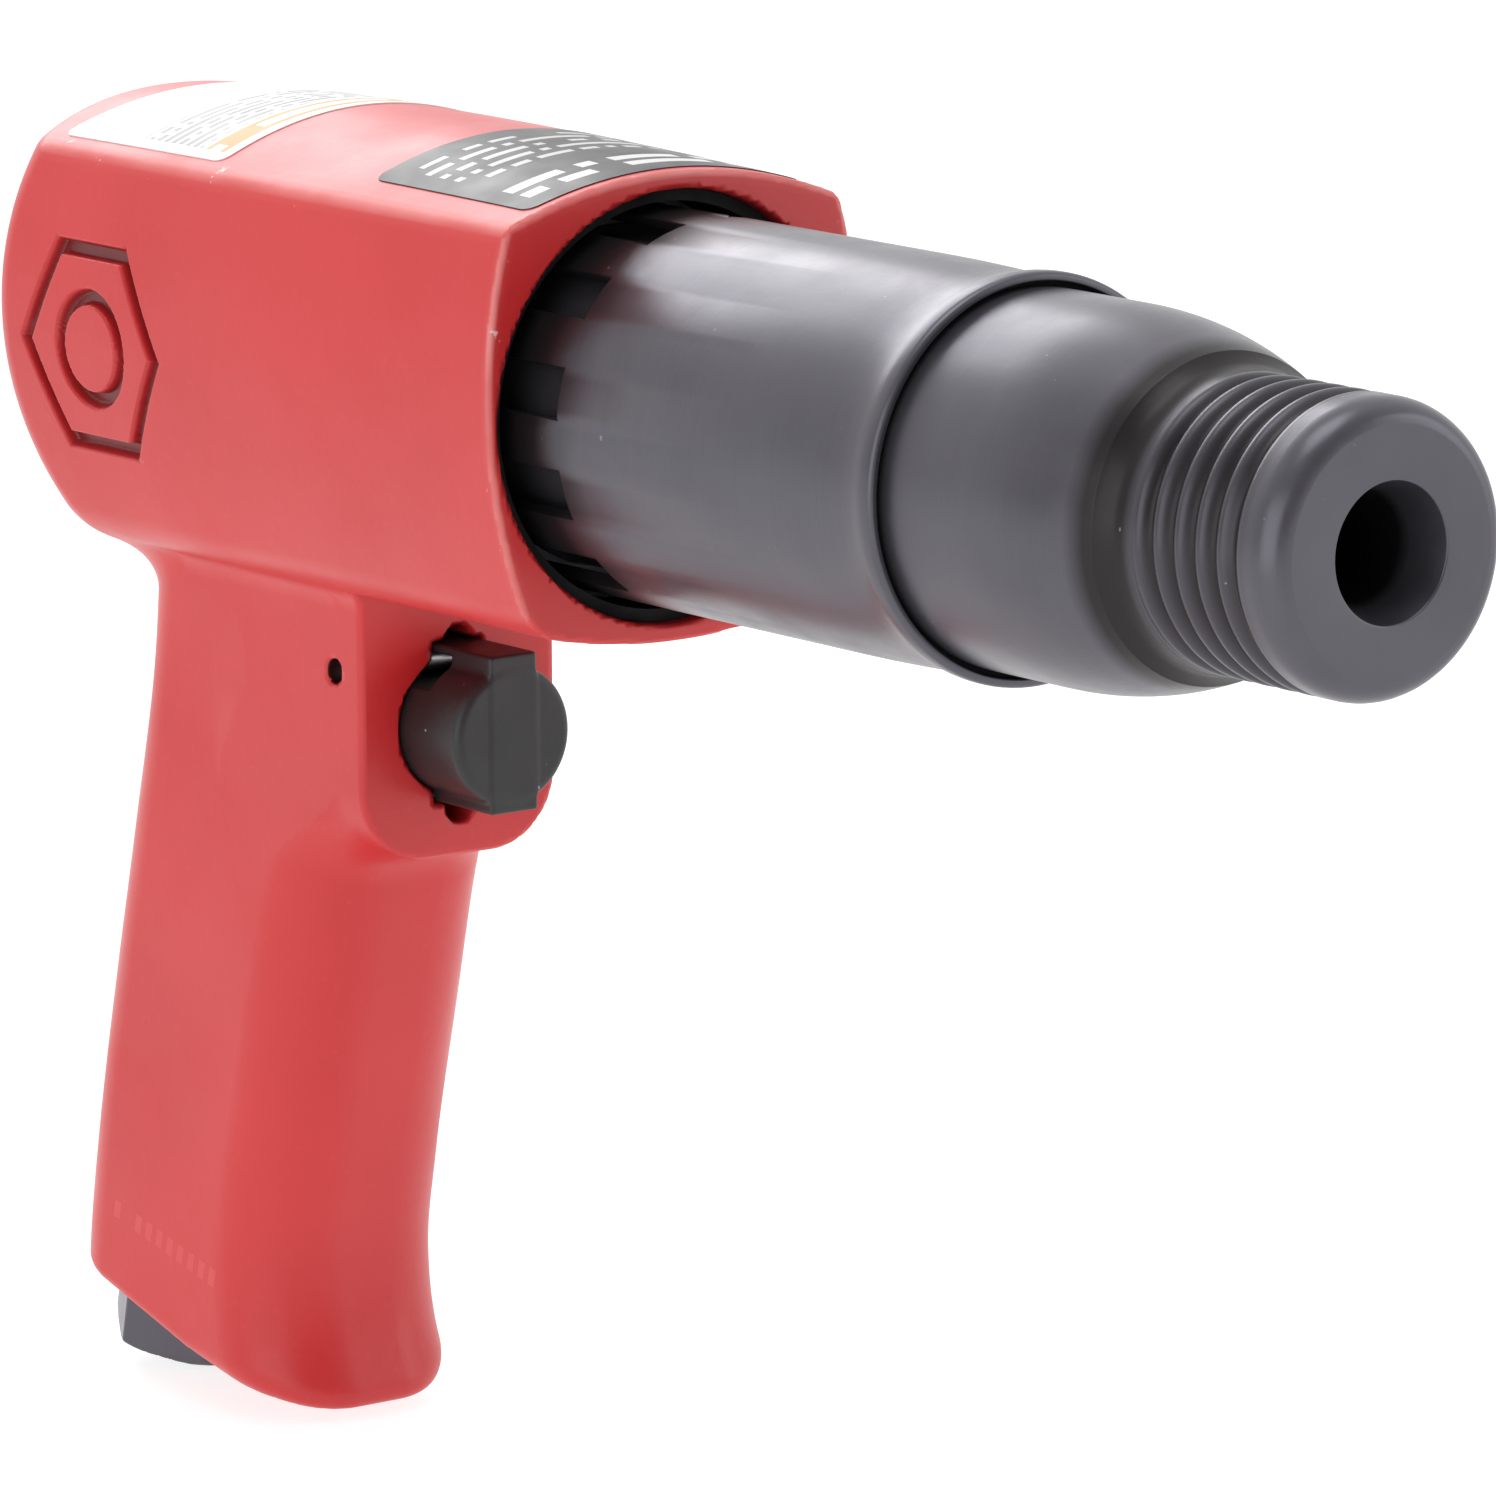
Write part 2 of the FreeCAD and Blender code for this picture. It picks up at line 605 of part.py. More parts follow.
def throttle_valve():
    z = TRIGGER_Z
    face = BUSHING_REAR - VALVE_SEAL_THICKNESS
    stem = rod(BUTTON_REAR - 0.3, face, STEM_R, 0, z)
    head = rod(face, face - VALVE_HEAD_LENGTH, VALVE_HEAD_R, 0, z)
    boss = rod(face - VALVE_HEAD_LENGTH, face - VALVE_HEAD_LENGTH - 1.5, SPRING_R - 1.2, 0, z)
    return stem.fuse([head, boss]).removeSplitter()


def throttle_valve_seal():
    front = BUSHING_REAR - 0.02
    rear = BUSHING_REAR - VALVE_SEAL_THICKNESS + 0.02
    return ring(front, rear, VALVE_HEAD_R, STEM_R + 0.02, 0, TRIGGER_Z)


def throttle_spring():
    """Coil spring as a swept helix between the valve head and the end of the chamber."""
    z = TRIGGER_Z
    front = BUSHING_REAR - VALVE_SEAL_THICKNESS - VALVE_HEAD_LENGTH - 0.1 - SPRING_WIRE_R
    rear = THROTTLE_CHAMBER_REAR + 0.1 + SPRING_WIRE_R
    height = front - rear
    helix = Part.makeHelix(height / SPRING_TURNS, height, SPRING_R)
    wire_section = Part.Wire(Part.makeCircle(SPRING_WIRE_R, vec(SPRING_R, 0, 0), vec(0, 1, 0)))
    coil = Part.Wire(helix).makePipeShell([wire_section], True, True)
    coil.rotate(vec(0, 0, 0), Y_AXIS, 90)
    coil.translate(vec(rear, 0, z))
    return coil


# ---------------------------------------------------------------- air inlet
def inlet_bushing():
    flats = INLET_HEX_FLATS / 2
    corner = flats / math.cos(math.radians(30))
    points = []
    for index in range(7):
        angle = math.radians(60 * index + 30)
        points.append(vec(corner * math.cos(angle), corner * math.sin(angle), 0))
    hexagon = Part.Face(Part.makePolygon(points)).extrude(vec(0, 0, INLET_HEX_LENGTH))
    cone = Part.makeCone(flats + 0.2, flats + 0.2 + 2 * INLET_HEX_LENGTH, INLET_HEX_LENGTH)
    hexagon = hexagon.common(cone)
    spigot = Part.makeCylinder(INLET_SPIGOT_R, INLET_SPIGOT_LENGTH, vec(0, 0, INLET_HEX_LENGTH))
    hole = Part.makeCylinder(INLET_HOLE_R, INLET_HOLE_LENGTH + 1, vec(0, 0, -1))
    bore = Part.makeCylinder(INLET_NARROW_R, 50, vec(0, 0, INLET_HOLE_LENGTH - 1))
    shape = hexagon.fuse(spigot).removeSplitter().cut([hole, bore])
    shape.rotate(vec(0, 0, 0), Y_AXIS, INLET_TILT)
    shape.translate(vec(INLET_MOUTH[0], 0, INLET_MOUTH[1]))
    return shape


def inlet_seal():
    start = INLET_HEX_LENGTH + 0.05
    end = INLET_HEX_LENGTH + INLET_SEAL_THICKNESS - 0.05
    hole = inlet_rod(start - 1, end + 1, INLET_SPIGOT_R + 0.03)
    return inlet_rod(start, end, INLET_SPIGOT_R + 1.2).cut(hole)


def inlet_screen():
    """Cup-shaped strainer that stands in the inlet bushing's narrow bore."""
    start = INLET_HOLE_LENGTH + 1.0
    end = INLET_HEX_LENGTH + INLET_SPIGOT_LENGTH - 1.0
    hollow = inlet_rod(start - 1, end - SCREEN_WALL, SCREEN_R - SCREEN_WALL)
    return inlet_rod(start, end, SCREEN_R).cut(hollow)


# ---------------------------------------------------------------- labels
def label(rear, front, half):
    """Thin sheet that follows the crowned top."""
    sheet = block(rear, front, -half, half, 0, 40).common(over_crown(0))
    return sheet.cut(over_crown(LABEL_THICKNESS))


# ---------------------------------------------------------------- all nodes
def main():
    os.makedirs("parts", exist_ok=True)
    save(handle_housing(), "handle_housing")
    save(barrel(), "barrel")
    save(exhaust_sleeve(), "exhaust_sleeve")
    save(sleeve_o_ring(), "sleeve_o_ring")
    save(exhaust_deflector(), "exhaust_deflector")
    save(barrel_lock_ring(), "barrel_lock_ring")
    save(piston(), "piston")
    save(valve_case_front(), "valve_case_front")
    save(valve_case_rear(), "valve_case_rear")
    save(valve_case_pins(), "valve_case_pins")
    save(valve_case_seal(), "valve_case_seal")
    save(valve_disc(), "valve_disc")
    save(trigger_button(), "trigger_button")
    save(trigger_pin(), "trigger_pin")
    save(throttle_bushing(), "throttle_bushing")
    save(bushing_o_ring(), "bushing_o_ring")
    save(throttle_valve(), "throttle_valve")
    save(throttle_valve_seal(), "throttle_valve_seal")
    save(throttle_spring(), "throttle_spring")
    save(inlet_bushing(), "inlet_bushing")
    save(inlet_seal(), "inlet_seal")
    save(inlet_screen(), "inlet_screen")
    save(label(*WARNING_LABEL), "warning_label")
    save(label(*RATING_PLATE), "rating_plate")


main()
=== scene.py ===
"""Looks for the pistol-grip air hammer: cast red housing, black steel barrel, three-quarter camera."""
import bpy
import bmesh
import json
import math
import numpy as np
from mathutils import Matrix, Vector


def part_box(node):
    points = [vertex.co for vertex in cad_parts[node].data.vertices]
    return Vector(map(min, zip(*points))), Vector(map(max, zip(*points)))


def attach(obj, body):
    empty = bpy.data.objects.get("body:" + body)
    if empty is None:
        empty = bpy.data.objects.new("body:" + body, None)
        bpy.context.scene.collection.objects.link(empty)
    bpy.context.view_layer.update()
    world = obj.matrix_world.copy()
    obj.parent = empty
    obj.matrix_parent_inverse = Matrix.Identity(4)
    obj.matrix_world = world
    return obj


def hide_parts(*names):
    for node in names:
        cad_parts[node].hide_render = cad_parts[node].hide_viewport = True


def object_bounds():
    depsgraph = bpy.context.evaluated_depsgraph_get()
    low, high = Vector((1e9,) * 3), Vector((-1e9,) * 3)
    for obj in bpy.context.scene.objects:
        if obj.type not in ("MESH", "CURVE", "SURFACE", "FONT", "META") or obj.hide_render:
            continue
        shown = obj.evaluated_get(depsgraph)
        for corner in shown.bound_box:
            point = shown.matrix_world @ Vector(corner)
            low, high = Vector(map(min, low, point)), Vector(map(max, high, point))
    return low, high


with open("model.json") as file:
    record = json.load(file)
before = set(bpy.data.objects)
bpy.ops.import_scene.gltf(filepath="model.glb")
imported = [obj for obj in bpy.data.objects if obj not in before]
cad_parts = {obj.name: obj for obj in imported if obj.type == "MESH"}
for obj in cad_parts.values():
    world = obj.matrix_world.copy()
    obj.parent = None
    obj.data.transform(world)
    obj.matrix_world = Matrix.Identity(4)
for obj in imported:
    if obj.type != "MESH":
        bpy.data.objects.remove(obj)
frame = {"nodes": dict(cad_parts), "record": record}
cad_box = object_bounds()

MM = 0.001          # shapes are worked out in millimetres and written in metres


# ---------------------------------------------------------------- camera, light, stage
CAMERA_PLACE = (0.81571, -0.70108, 0.18693)
CAMERA_ANGLES = (52.892, 10.921, -0.317)     # azimuth, elevation, roll in degrees
CAMERA_LENS = 252.5
FAR_SIDE = (-0.78, 0.60, 0.20)               # towards the room behind the tool


def make_camera():
    """Long lens on the nose side, a little above the tool."""
    azimuth, elevation, roll = (math.radians(a) for a in CAMERA_ANGLES)
    back = Vector((math.sin(azimuth) * math.cos(elevation),
                   -math.cos(azimuth) * math.cos(elevation), math.sin(elevation)))
    right = Vector((0, 0, 1)).cross(back).normalized()
    up = back.cross(right)
    side = right * math.cos(roll) + up * math.sin(roll)
    top = up * math.cos(roll) - right * math.sin(roll)
    data = bpy.data.cameras.new("camera")
    data.sensor_width = 36.0
    data.lens = CAMERA_LENS
    data.clip_end = 50.0
    camera = bpy.data.objects.new("camera", data)
    camera.matrix_world = Matrix.Translation(CAMERA_PLACE) @ Matrix((side, top, back)).transposed().to_4x4()
    bpy.context.scene.collection.objects.link(camera)
    bpy.context.scene.camera = camera


def area_light(name, place, target, size, power):
    """Soft rectangular light aimed at a point."""
    data = bpy.data.lights.new(name, "AREA")
    data.shape = "RECTANGLE"
    data.size, data.size_y = size
    data.energy = power
    lamp = bpy.data.objects.new(name, data)
    lamp.location = place
    lamp.rotation_euler = (Vector(target) - Vector(place)).to_track_quat("-Z", "Y").to_euler()
    bpy.context.scene.collection.objects.link(lamp)


def make_world():
    """White room: brightest overhead and behind the tool, dimmer on the camera's side."""
    world = bpy.data.worlds.new("studio")
    bpy.context.scene.world = world
    world.use_nodes = True
    tree = world.node_tree
    direction = tree.nodes.new("ShaderNodeTexCoord").outputs["Generated"]
    toward = tree.nodes.new("ShaderNodeVectorMath")
    toward.operation = "DOT_PRODUCT"
    toward.inputs[1].default_value = FAR_SIDE
    tree.links.new(direction, toward.inputs[0])
    shade = tree.nodes.new("ShaderNodeMapRange")
    shade.inputs["From Min"].default_value = -0.6
    shade.inputs["From Max"].default_value = 0.6
    shade.inputs["To Min"].default_value = 0.30
    shade.inputs["To Max"].default_value = 1.15
    tree.links.new(toward.outputs["Value"], shade.inputs["Value"])
    path = tree.nodes.new("ShaderNodeLightPath")
    seen = tree.nodes.new("ShaderNodeMath")
    seen.operation = "MAXIMUM"
    tree.links.new(shade.outputs["Result"], seen.inputs[0])
    tree.links.new(path.outputs["Is Camera Ray"], seen.inputs[1])
    tree.links.new(seen.outputs["Value"], tree.nodes["Background"].inputs["Strength"])
    tree.nodes["Background"].inputs["Color"].default_value = (1.0, 1.0, 1.0, 1.0)


def make_lights():
    """Wall of light behind the tool, soft lights above, in front and on the far side; plain tones."""
    make_world()
    bpy.context.scene.view_settings.view_transform = "Standard"
    middle = (-0.12, 0.0, -0.03)
    area_light("rear_wall", (-0.95, 0.18, 0.52), middle, (0.62, 0.50), 3.7)
    area_light("overhead", (0.0, -0.05, 0.85), middle, (0.5, 0.5), 2.0)
    area_light("key", (0.25, -1.25, 0.30), middle, (1.3, 1.0), 6.0)
    area_light("right_rim", (0.60, 0.85, 0.25), middle, (0.5, 0.6), 1.5)


def make_floor():
    """Pale floor at the tool's lowest point."""
    size = 6.0
    mesh = bpy.data.meshes.new("floor")
    z = cad_box[0].z - 0.0005
    corners = [(-size, -size, z), (size, -size, z), (size, size, z), (-size, size, z)]
    mesh.from_pydata(corners, [], [(0, 1, 2, 3)])
    floor = bpy.data.objects.new("floor", mesh)
    bpy.context.scene.collection.objects.link(floor)
    material = bpy.data.materials.new("pale_floor")
    material.use_nodes = True
    shader = material.node_tree.nodes["Principled BSDF"]
    shader.inputs["Base Color"].default_value = (0.30, 0.30, 0.30, 1.0)
    shader.inputs["Roughness"].default_value = 0.6
    shader.inputs["Emission Color"].default_value = (1.0, 1.0, 1.0, 1.0)
    shader.inputs["Emission Strength"].default_value = 0.80
    mesh.materials.append(material)


make_camera()
make_lights()
make_floor()


# ---------------------------------------------------------------- housing dimensions (mm)
TOP_CORNER = (23.4, 22.33)
TOP_RISE = 4.61
TOP_EXTRA_RISE = 1.55
TOP_HIGHEST = -176.0
TOP_HALF_LENGTH = 52.0
SIDE_HALF_WIDTH = 26.29
LOWER_CORNER = (20.5, -24.1)
BELLY = -26.85
REAR_TOP = (-227.0, 24.0)
REAR_MIDDLE = (-233.0, 0.0)
REAR_LOWER = (-215.0, -31.0)
REAR_DOME_R = 42.0
BODY_FRONT = -124.0
BOSS_FRONT = -167.0
BOSS_HALF_WIDTH = 13.9
BOSS_BOTTOM = -58.5
BOSS_CORNER_R = 9.0
BASE_REAR = (-231.8, -116.0)
BASE_FRONT = (-196.0, -126.0)
TRIGGER_Z = -42.7
PIN_X, PIN_Z = -172.6, -35.8
PIN_HOLE_R = 1.45
INLET = next(mount for mount in frame["record"]["mounts"] if mount["name"] == "air_inlet")
INLET_TILT = math.atan2(-INLET["axis"][0], -INLET["axis"][2])
INLET_HALF_DEPTH = INLET["dims"]["length_mm"] / 2
INLET_MOUTH = tuple(INLET["pos_m"][i] / MM + INLET["axis"][i] * INLET_HALF_DEPTH for i in (0, 2))

# Bores in the casting: radius, and how far back or how deep each one goes
MOUTH_BORE = (24.83, -138.0)
BARREL_BORE = (20.05, -164.0)
VALVE_BORE = (18.0, -202.0)
REAR_BORE = (14.0, -220.0)
TRIGGER_BORE = (8.35, -196.0)
THROTTLE_BORE = (7.0, -211.5)
INLET_BORE = (8.6, 26.0)
INLET_RECESS = (11.8, 11.1)
PASSAGE = (4.5, 90.0)
BORES_FRONT = -150.0              # the handle's bores stop short of this, in front of the boss
KEY_SLOT_REAR = -184.0
KEY_SLOT_HALF_WIDTH = 3.6
KEY_SLOT_HALF_HEIGHT = 9.65
KEY_SLOT_MIDDLE = 0.35            # above the trigger's axis
KEY_RELIEF_R = 1.9                # round ends of the key slots
KEY_RELIEF_REACH = 9.9
KEY_RELIEF_MIDDLE = -0.15

# Small details on the casting: the engraved mark, and a row of raised blocks
MARK_CENTRE = (-204.3, -0.4)
MARK_R = 13.4
MARK_CIRCLE_R = 6.164
MARK_GROOVE = 1.7
MARK_DEPTH = 1.5
BARS_REAR = (-221.9, -108.1)
BARS_LENGTH = 27.4
BARS_TILT = math.radians(12.9)
BARS_HALF_HEIGHT = 1.1

# Nose thread, used by the barrel's piece and by the painted shade in its material
THREAD_SHADE_REAR = -31.0
THREAD_CREST_R = 16.25
THREAD_ROOT_R = 15.1

# z, rear x, front x, half width, rear corner radius, front corner radius
GRIP_SECTIONS = np.array([
    (-131.0, -232.4, -182.0, 15.2, 9.0, 12.0),
    (-120.0, -231.6, -186.6, 14.8, 9.0, 11.5),
    (-112.0, -231.0, -187.6, 14.6, 9.0, 11.0),
    (-100.0, -229.1, -185.6, 14.5, 9.0, 11.0),
    (-80.0, -224.7, -180.8, 14.5, 9.0, 11.0),
    (-61.0, -220.5, -175.8, 14.2, 9.0, 10.5),
    (-40.0, -216.6, -170.0, 13.6, 9.0, 5.0),
    (-27.0, -214.6, -168.0, 14.0, 9.0, 5.0),
])


def circle_through(first, second, third):
    """Centre and radius of the circle through three points."""
    (ax, ay), (bx, by), (cx, cy) = first, second, third
    d = 2 * (ax * (by - cy) + bx * (cy - ay) + cx * (ay - by))
    a, b, c = ax * ax + ay * ay, bx * bx + by * by, cx * cx + cy * cy
    x = (a * (by - cy) + b * (cy - ay) + c * (ay - by)) / d
    y = (a * (cx - bx) + b * (ax - cx) + c * (bx - ax)) / d
    return x, y, math.hypot(ax - x, ay - y)


SIDE_ARC = circle_through(TOP_CORNER, (SIDE_HALF_WIDTH, 0), LOWER_CORNER)
BELLY_ARC = circle_through((-LOWER_CORNER[0], LOWER_CORNER[1]), (0, BELLY), LOWER_CORNER)
DOME_AXIS = REAR_MIDDLE[0] + REAR_DOME_R
DOME_ARC = circle_through(*((DOME_AXIS - x, z) for x, z in (REAR_TOP, REAR_MIDDLE, REAR_LOWER)))


# ---------------------------------------------------------------- material kit
class Nodes:
    """Short names for building one material's node tree."""

    def __init__(self, name, roughness, metallic=0.0):
        self.material = bpy.data.materials.new(name)
        self.material.use_nodes = True
        self.tree = self.material.node_tree
        self.shader = self.tree.nodes["Principled BSDF"]
        self.shader.inputs["Roughness"].default_value = roughness
        self.shader.inputs["Metallic"].default_value = metallic
        self.coords = self.tree.nodes.new("ShaderNodeTexCoord").outputs["Object"]

    def link(self, source, target):
        self.tree.links.new(source, target)

    def value(self, socket, given):
        """Links an output, or sets a plain number."""
        if isinstance(given, bpy.types.NodeSocket):
            self.link(given, socket)
        else:
            socket.default_value = given

    def stretch(self, scale):
        node = self.tree.nodes.new("ShaderNodeMapping")
        node.inputs["Scale"].default_value = scale
        self.link(self.coords, node.inputs["Vector"])
        return node.outputs["Vector"]

    def noise(self, scale, detail=3.0, vector=None, rough=0.5):
        node = self.tree.nodes.new("ShaderNodeTexNoise")
        node.inputs["Scale"].default_value = scale
        node.inputs["Detail"].default_value = detail
        node.inputs["Roughness"].default_value = rough
        self.link(vector or self.coords, node.inputs["Vector"])
        return node.outputs["Fac"]

    def ramp(self, source, low, high, start=0.0, end=1.0):
        """Maps source from low..high to start..end, clamped."""
        node = self.tree.nodes.new("ShaderNodeMapRange")
        self.link(source, node.inputs["Value"])
        node.inputs["From Min"].default_value = low
        node.inputs["From Max"].default_value = high
        node.inputs["To Min"].default_value = start
        node.inputs["To Max"].default_value = end
        return node.outputs["Result"]

    def math(self, kind, first, second=0.0):
        node = self.tree.nodes.new("ShaderNodeMath")
        node.operation = kind
        self.value(node.inputs[0], first)
        self.value(node.inputs[1], second)
        return node.outputs["Value"]

    def mix(self, share, first, second):
        """Blends two colours (tuples or outputs) by share."""
        node = self.tree.nodes.new("ShaderNodeMix")
        node.data_type = "RGBA"
        self.value(node.inputs["Factor"], share)
        for socket, given in ((node.inputs[6], first), (node.inputs[7], second)):
            if isinstance(given, tuple):
                socket.default_value = (*given, 1.0)
            else:
                self.link(given, socket)
        return node.outputs[2]

    def apart(self):
        """The three coordinates, in millimetres."""
        node = self.tree.nodes.new("ShaderNodeSeparateXYZ")
        self.link(self.coords, node.inputs["Vector"])
        return [self.math("MULTIPLY", output, 1 / MM) for output in node.outputs]

    def from_circle(self, across, up, centre, radius):
        """Distance from a circle's line, in the plane of two coordinates."""
        u = self.math("SUBTRACT", across, centre[0])
        v = self.math("SUBTRACT", up, centre[1])
        square = self.math("ADD", self.math("MULTIPLY", u, u), self.math("MULTIPLY", v, v))
        away = self.math("SUBTRACT", self.math("SQRT", square), radius)
        return self.math("ABSOLUTE", away)

    def housing_edges(self):
        """Thin line, and wider halo, along the casting's two top edges and its front edge: masks for the paler
        edges, which are worn paint and a painted highlight.
        """
        x, y, z = self.apart()
        side = self.from_circle(self.math("ABSOLUTE", y), z, SIDE_ARC[:2], SIDE_ARC[2])
        along_top = self.math("DIVIDE", self.math("SUBTRACT", x, TOP_HIGHEST), TOP_HALF_LENGTH)
        swell = self.math("MULTIPLY", self.math("POWER", along_top, 2.0), -TOP_EXTRA_RISE)
        rise = self.math("ADD", swell, TOP_RISE + TOP_EXTRA_RISE)
        across = self.math("SUBTRACT", 1.0, self.math("POWER", self.math("DIVIDE", y, TOP_CORNER[0]), 2.0))
        height = self.math("ADD", self.math("MULTIPLY", rise, across), TOP_CORNER[1])
        top = self.math("MULTIPLY", self.math("ABSOLUTE", self.math("SUBTRACT", z, height)), 0.93)
        front = self.math("ABSOLUTE", self.math("SUBTRACT", x, BODY_FRONT))
        along = self.math("ADD", side, top)
        round_front = self.math("ADD", front, self.math("MINIMUM", side, top))
        nearest = self.math("MINIMUM", along, round_front)
        return self.ramp(nearest, 0.85, 0.45), self.ramp(nearest, 1.6, 0.6)

    def bump(self, height, strength, distance, under=None):
        node = self.tree.nodes.new("ShaderNodeBump")
        if under:
            self.link(under, node.inputs["Normal"])
        node.inputs["Strength"].default_value = strength
        node.inputs["Distance"].default_value = distance
        self.link(height, node.inputs["Height"])
        self.link(node.outputs["Normal"], self.shader.inputs["Normal"])
        return node.outputs["Normal"]

    def colour(self, output):
        self.link(output, self.shader.inputs["Base Color"])

    def roughness(self, output):
        self.link(output, self.shader.inputs["Roughness"])


def red_paint():
    """Sprayed red enamel on a casting: faint orange peel; paler along the crisp edges, partly worn paint with
    chips and partly a painted highlight line and sheen; painted shade in the engraved mark's groove and in the
    pin hole; the raised blocks painted lighter as a highlight.
    """
    m = Nodes("red_paint", 0.40)
    m.shader.inputs["Coat Weight"].default_value = 0.05
    m.shader.inputs["Coat Roughness"].default_value = 0.22
    broad = m.noise(28.0, 2.0)
    fine = m.noise(900.0, 3.0)
    red = m.mix(m.ramp(broad, 0.35, 0.65), (0.555, 0.020, 0.022), (0.605, 0.026, 0.028))
    red = m.mix(m.ramp(fine, 0.60, 0.75, 0.0, 0.20), red, (0.68, 0.05, 0.05))
    edge, halo = m.housing_edges()
    chips = m.ramp(m.noise(330.0, 4.0, rough=0.7), 0.66, 0.70)
    # partly painted sheen, partly thinned paint: a faint paler red band along the edges
    red = m.mix(m.math("MULTIPLY", halo, 0.10), red, (0.80, 0.22, 0.20))
    # pale line along the crisp edges: worn paint and a painted highlight line
    edge_wear_and_highlight = m.math("MULTIPLY", edge, m.ramp(m.noise(70.0, 3.0), 0.3, 0.7, 0.10, 0.55))
    red = m.mix(edge_wear_and_highlight, red, (0.84, 0.34, 0.32))
    x, y, z = m.apart()
    close_x = m.math("LESS_THAN", m.math("ABSOLUTE", m.math("SUBTRACT", x, MARK_CENTRE[0])), MARK_R + 3)
    close_z = m.math("LESS_THAN", m.math("ABSOLUTE", m.math("SUBTRACT", z, MARK_CENTRE[1])), MARK_R + 3)
    # painted shade: the engraved mark's groove is darkened, standing in for the shade that falls in it
    sunk = m.from_circle(m.math("ABSOLUTE", y), z, SIDE_ARC[:2], SIDE_ARC[2])
    groove_shade = m.math("MULTIPLY", m.ramp(sunk, 0.25, MARK_DEPTH, 0.0, 0.85), m.math("MULTIPLY", close_x, close_z))
    red = m.mix(groove_shade, red, (0.10, 0.003, 0.004))
    pin_x, pin_z = m.math("SUBTRACT", x, PIN_X), m.math("SUBTRACT", z, PIN_Z)
    from_pin = m.math("ADD", m.math("MULTIPLY", pin_x, pin_x), m.math("MULTIPLY", pin_z, pin_z))
    # painted shade: near-black inside the pin hole
    red = m.mix(m.math("LESS_THAN", from_pin, PIN_HOLE_R ** 2 + 0.2), red, (0.030, 0.002, 0.002))
    bars = casting_bars(m, x, y, z)
    # painted highlight: the raised blocks are painted a lighter red, as if lit
    red = m.mix(m.math("MULTIPLY", bars, 0.35), red, (0.74, 0.085, 0.085))
    m.colour(m.mix(m.math("MULTIPLY", halo, chips), red, (0.86, 0.58, 0.56)))
    m.roughness(m.ramp(m.noise(60.0, 4.0), 0.3, 0.7, 0.33, 0.46))
    height = m.math("ADD", m.math("MULTIPLY", fine, 0.5), m.noise(260.0, 2.0))
    m.bump(bars, 0.6, 0.0004, m.bump(height, 0.10, 0.0004))
    return m.material


def casting_bars(m, x, y, z):
    """1 on the short row of raised blocks low on the grip's near side, else 0."""
    run_x = m.math("SUBTRACT", x, BARS_REAR[0])
    run_z = m.math("SUBTRACT", z, BARS_REAR[1])
    along = m.math("SUBTRACT", m.math("MULTIPLY", run_x, math.cos(BARS_TILT)),
                   m.math("MULTIPLY", run_z, math.sin(BARS_TILT)))
    over = m.math("ADD", m.math("MULTIPLY", run_x, math.sin(BARS_TILT)),
                  m.math("MULTIPLY", run_z, math.cos(BARS_TILT)))
    level = between(m, over, -BARS_HALF_HEIGHT, BARS_HALF_HEIGHT)
    row = m.math("MULTIPLY", between(m, along, 0.0, BARS_LENGTH), level)
    blocks = dashes(m, along, y, 2.3, 0.55, 400.0, 1.0)
    return m.math("MULTIPLY", m.math("MULTIPLY", row, blocks), m.math("LESS_THAN", y, -6.0))


def black_steel(name="black_steel", turned=True, shade_at_mouth=False, painted_thread_shade=False):
    """Black-oxide steel: fine turning marks round the axis, handling smudges, a few bright specks; on request
    painted shade towards the housing's mouth, and painted shade in the thread roots and on the shoulder behind
    the thread.
    """
    m = Nodes(name, 0.36, 0.75)
    smudge = m.noise(45.0, 5.0, rough=0.6)
    lines = m.noise(60.0, 2.0, m.stretch((60.0, 1.0, 1.0)) if turned else m.coords)
    dark = m.mix(m.ramp(smudge, 0.3, 0.7), (0.096, 0.092, 0.108), (0.122, 0.117, 0.137))
    dark = m.mix(m.ramp(lines, 0.35, 0.65, 0.0, 0.20), dark, (0.086, 0.083, 0.096))
    if shade_at_mouth:
        x = m.apart()[0]
        # painted shade: the sleeve darkens towards the housing's mouth, where it runs into the shadowed
        # opening, broken up by the smudge noise
        mouth_shade = m.math("ADD", m.ramp(x, -111.0, -121.0), m.math("SUBTRACT", smudge, 0.5))
        dark = m.mix(m.ramp(mouth_shade, 0.1, 0.9, 0.0, 0.85), dark, (0.020, 0.017, 0.018))
    if painted_thread_shade:
        x, y, z = m.apart()
        away = m.math("SQRT", m.math("ADD", m.math("MULTIPLY", y, y), m.math("MULTIPLY", z, z)))
        begins = m.ramp(x, THREAD_SHADE_REAR, THREAD_SHADE_REAR + 2.5)
        thread = m.math("MULTIPLY", begins, m.ramp(x, -4.5, -6.0))
        # painted shade: thread roots darker than the crests
        thread = m.math("MULTIPLY", thread, m.ramp(away, THREAD_ROOT_R, THREAD_CREST_R, 0.95, 0.35))
        # painted shade on the shoulder behind the thread
        shoulder = m.math("MULTIPLY", m.math("MULTIPLY", begins, m.ramp(x, -22.5, -24.5)), 0.9)
        dark = m.mix(m.math("MAXIMUM", thread, shoulder), dark, (0.020, 0.017, 0.017))
    specks = m.ramp(m.noise(700.0, 2.0), 0.76, 0.80, 0.0, 0.5)
    m.colour(m.mix(specks, dark, (0.42, 0.40, 0.40)))
    m.roughness(m.ramp(m.noise(90.0, 6.0, rough=0.7), 0.3, 0.7, 0.28, 0.40))
    m.bump(m.math("ADD", m.math("MULTIPLY", lines, 0.4), m.noise(1500.0, 2.0)), 0.05, 0.0002)
    return m.material


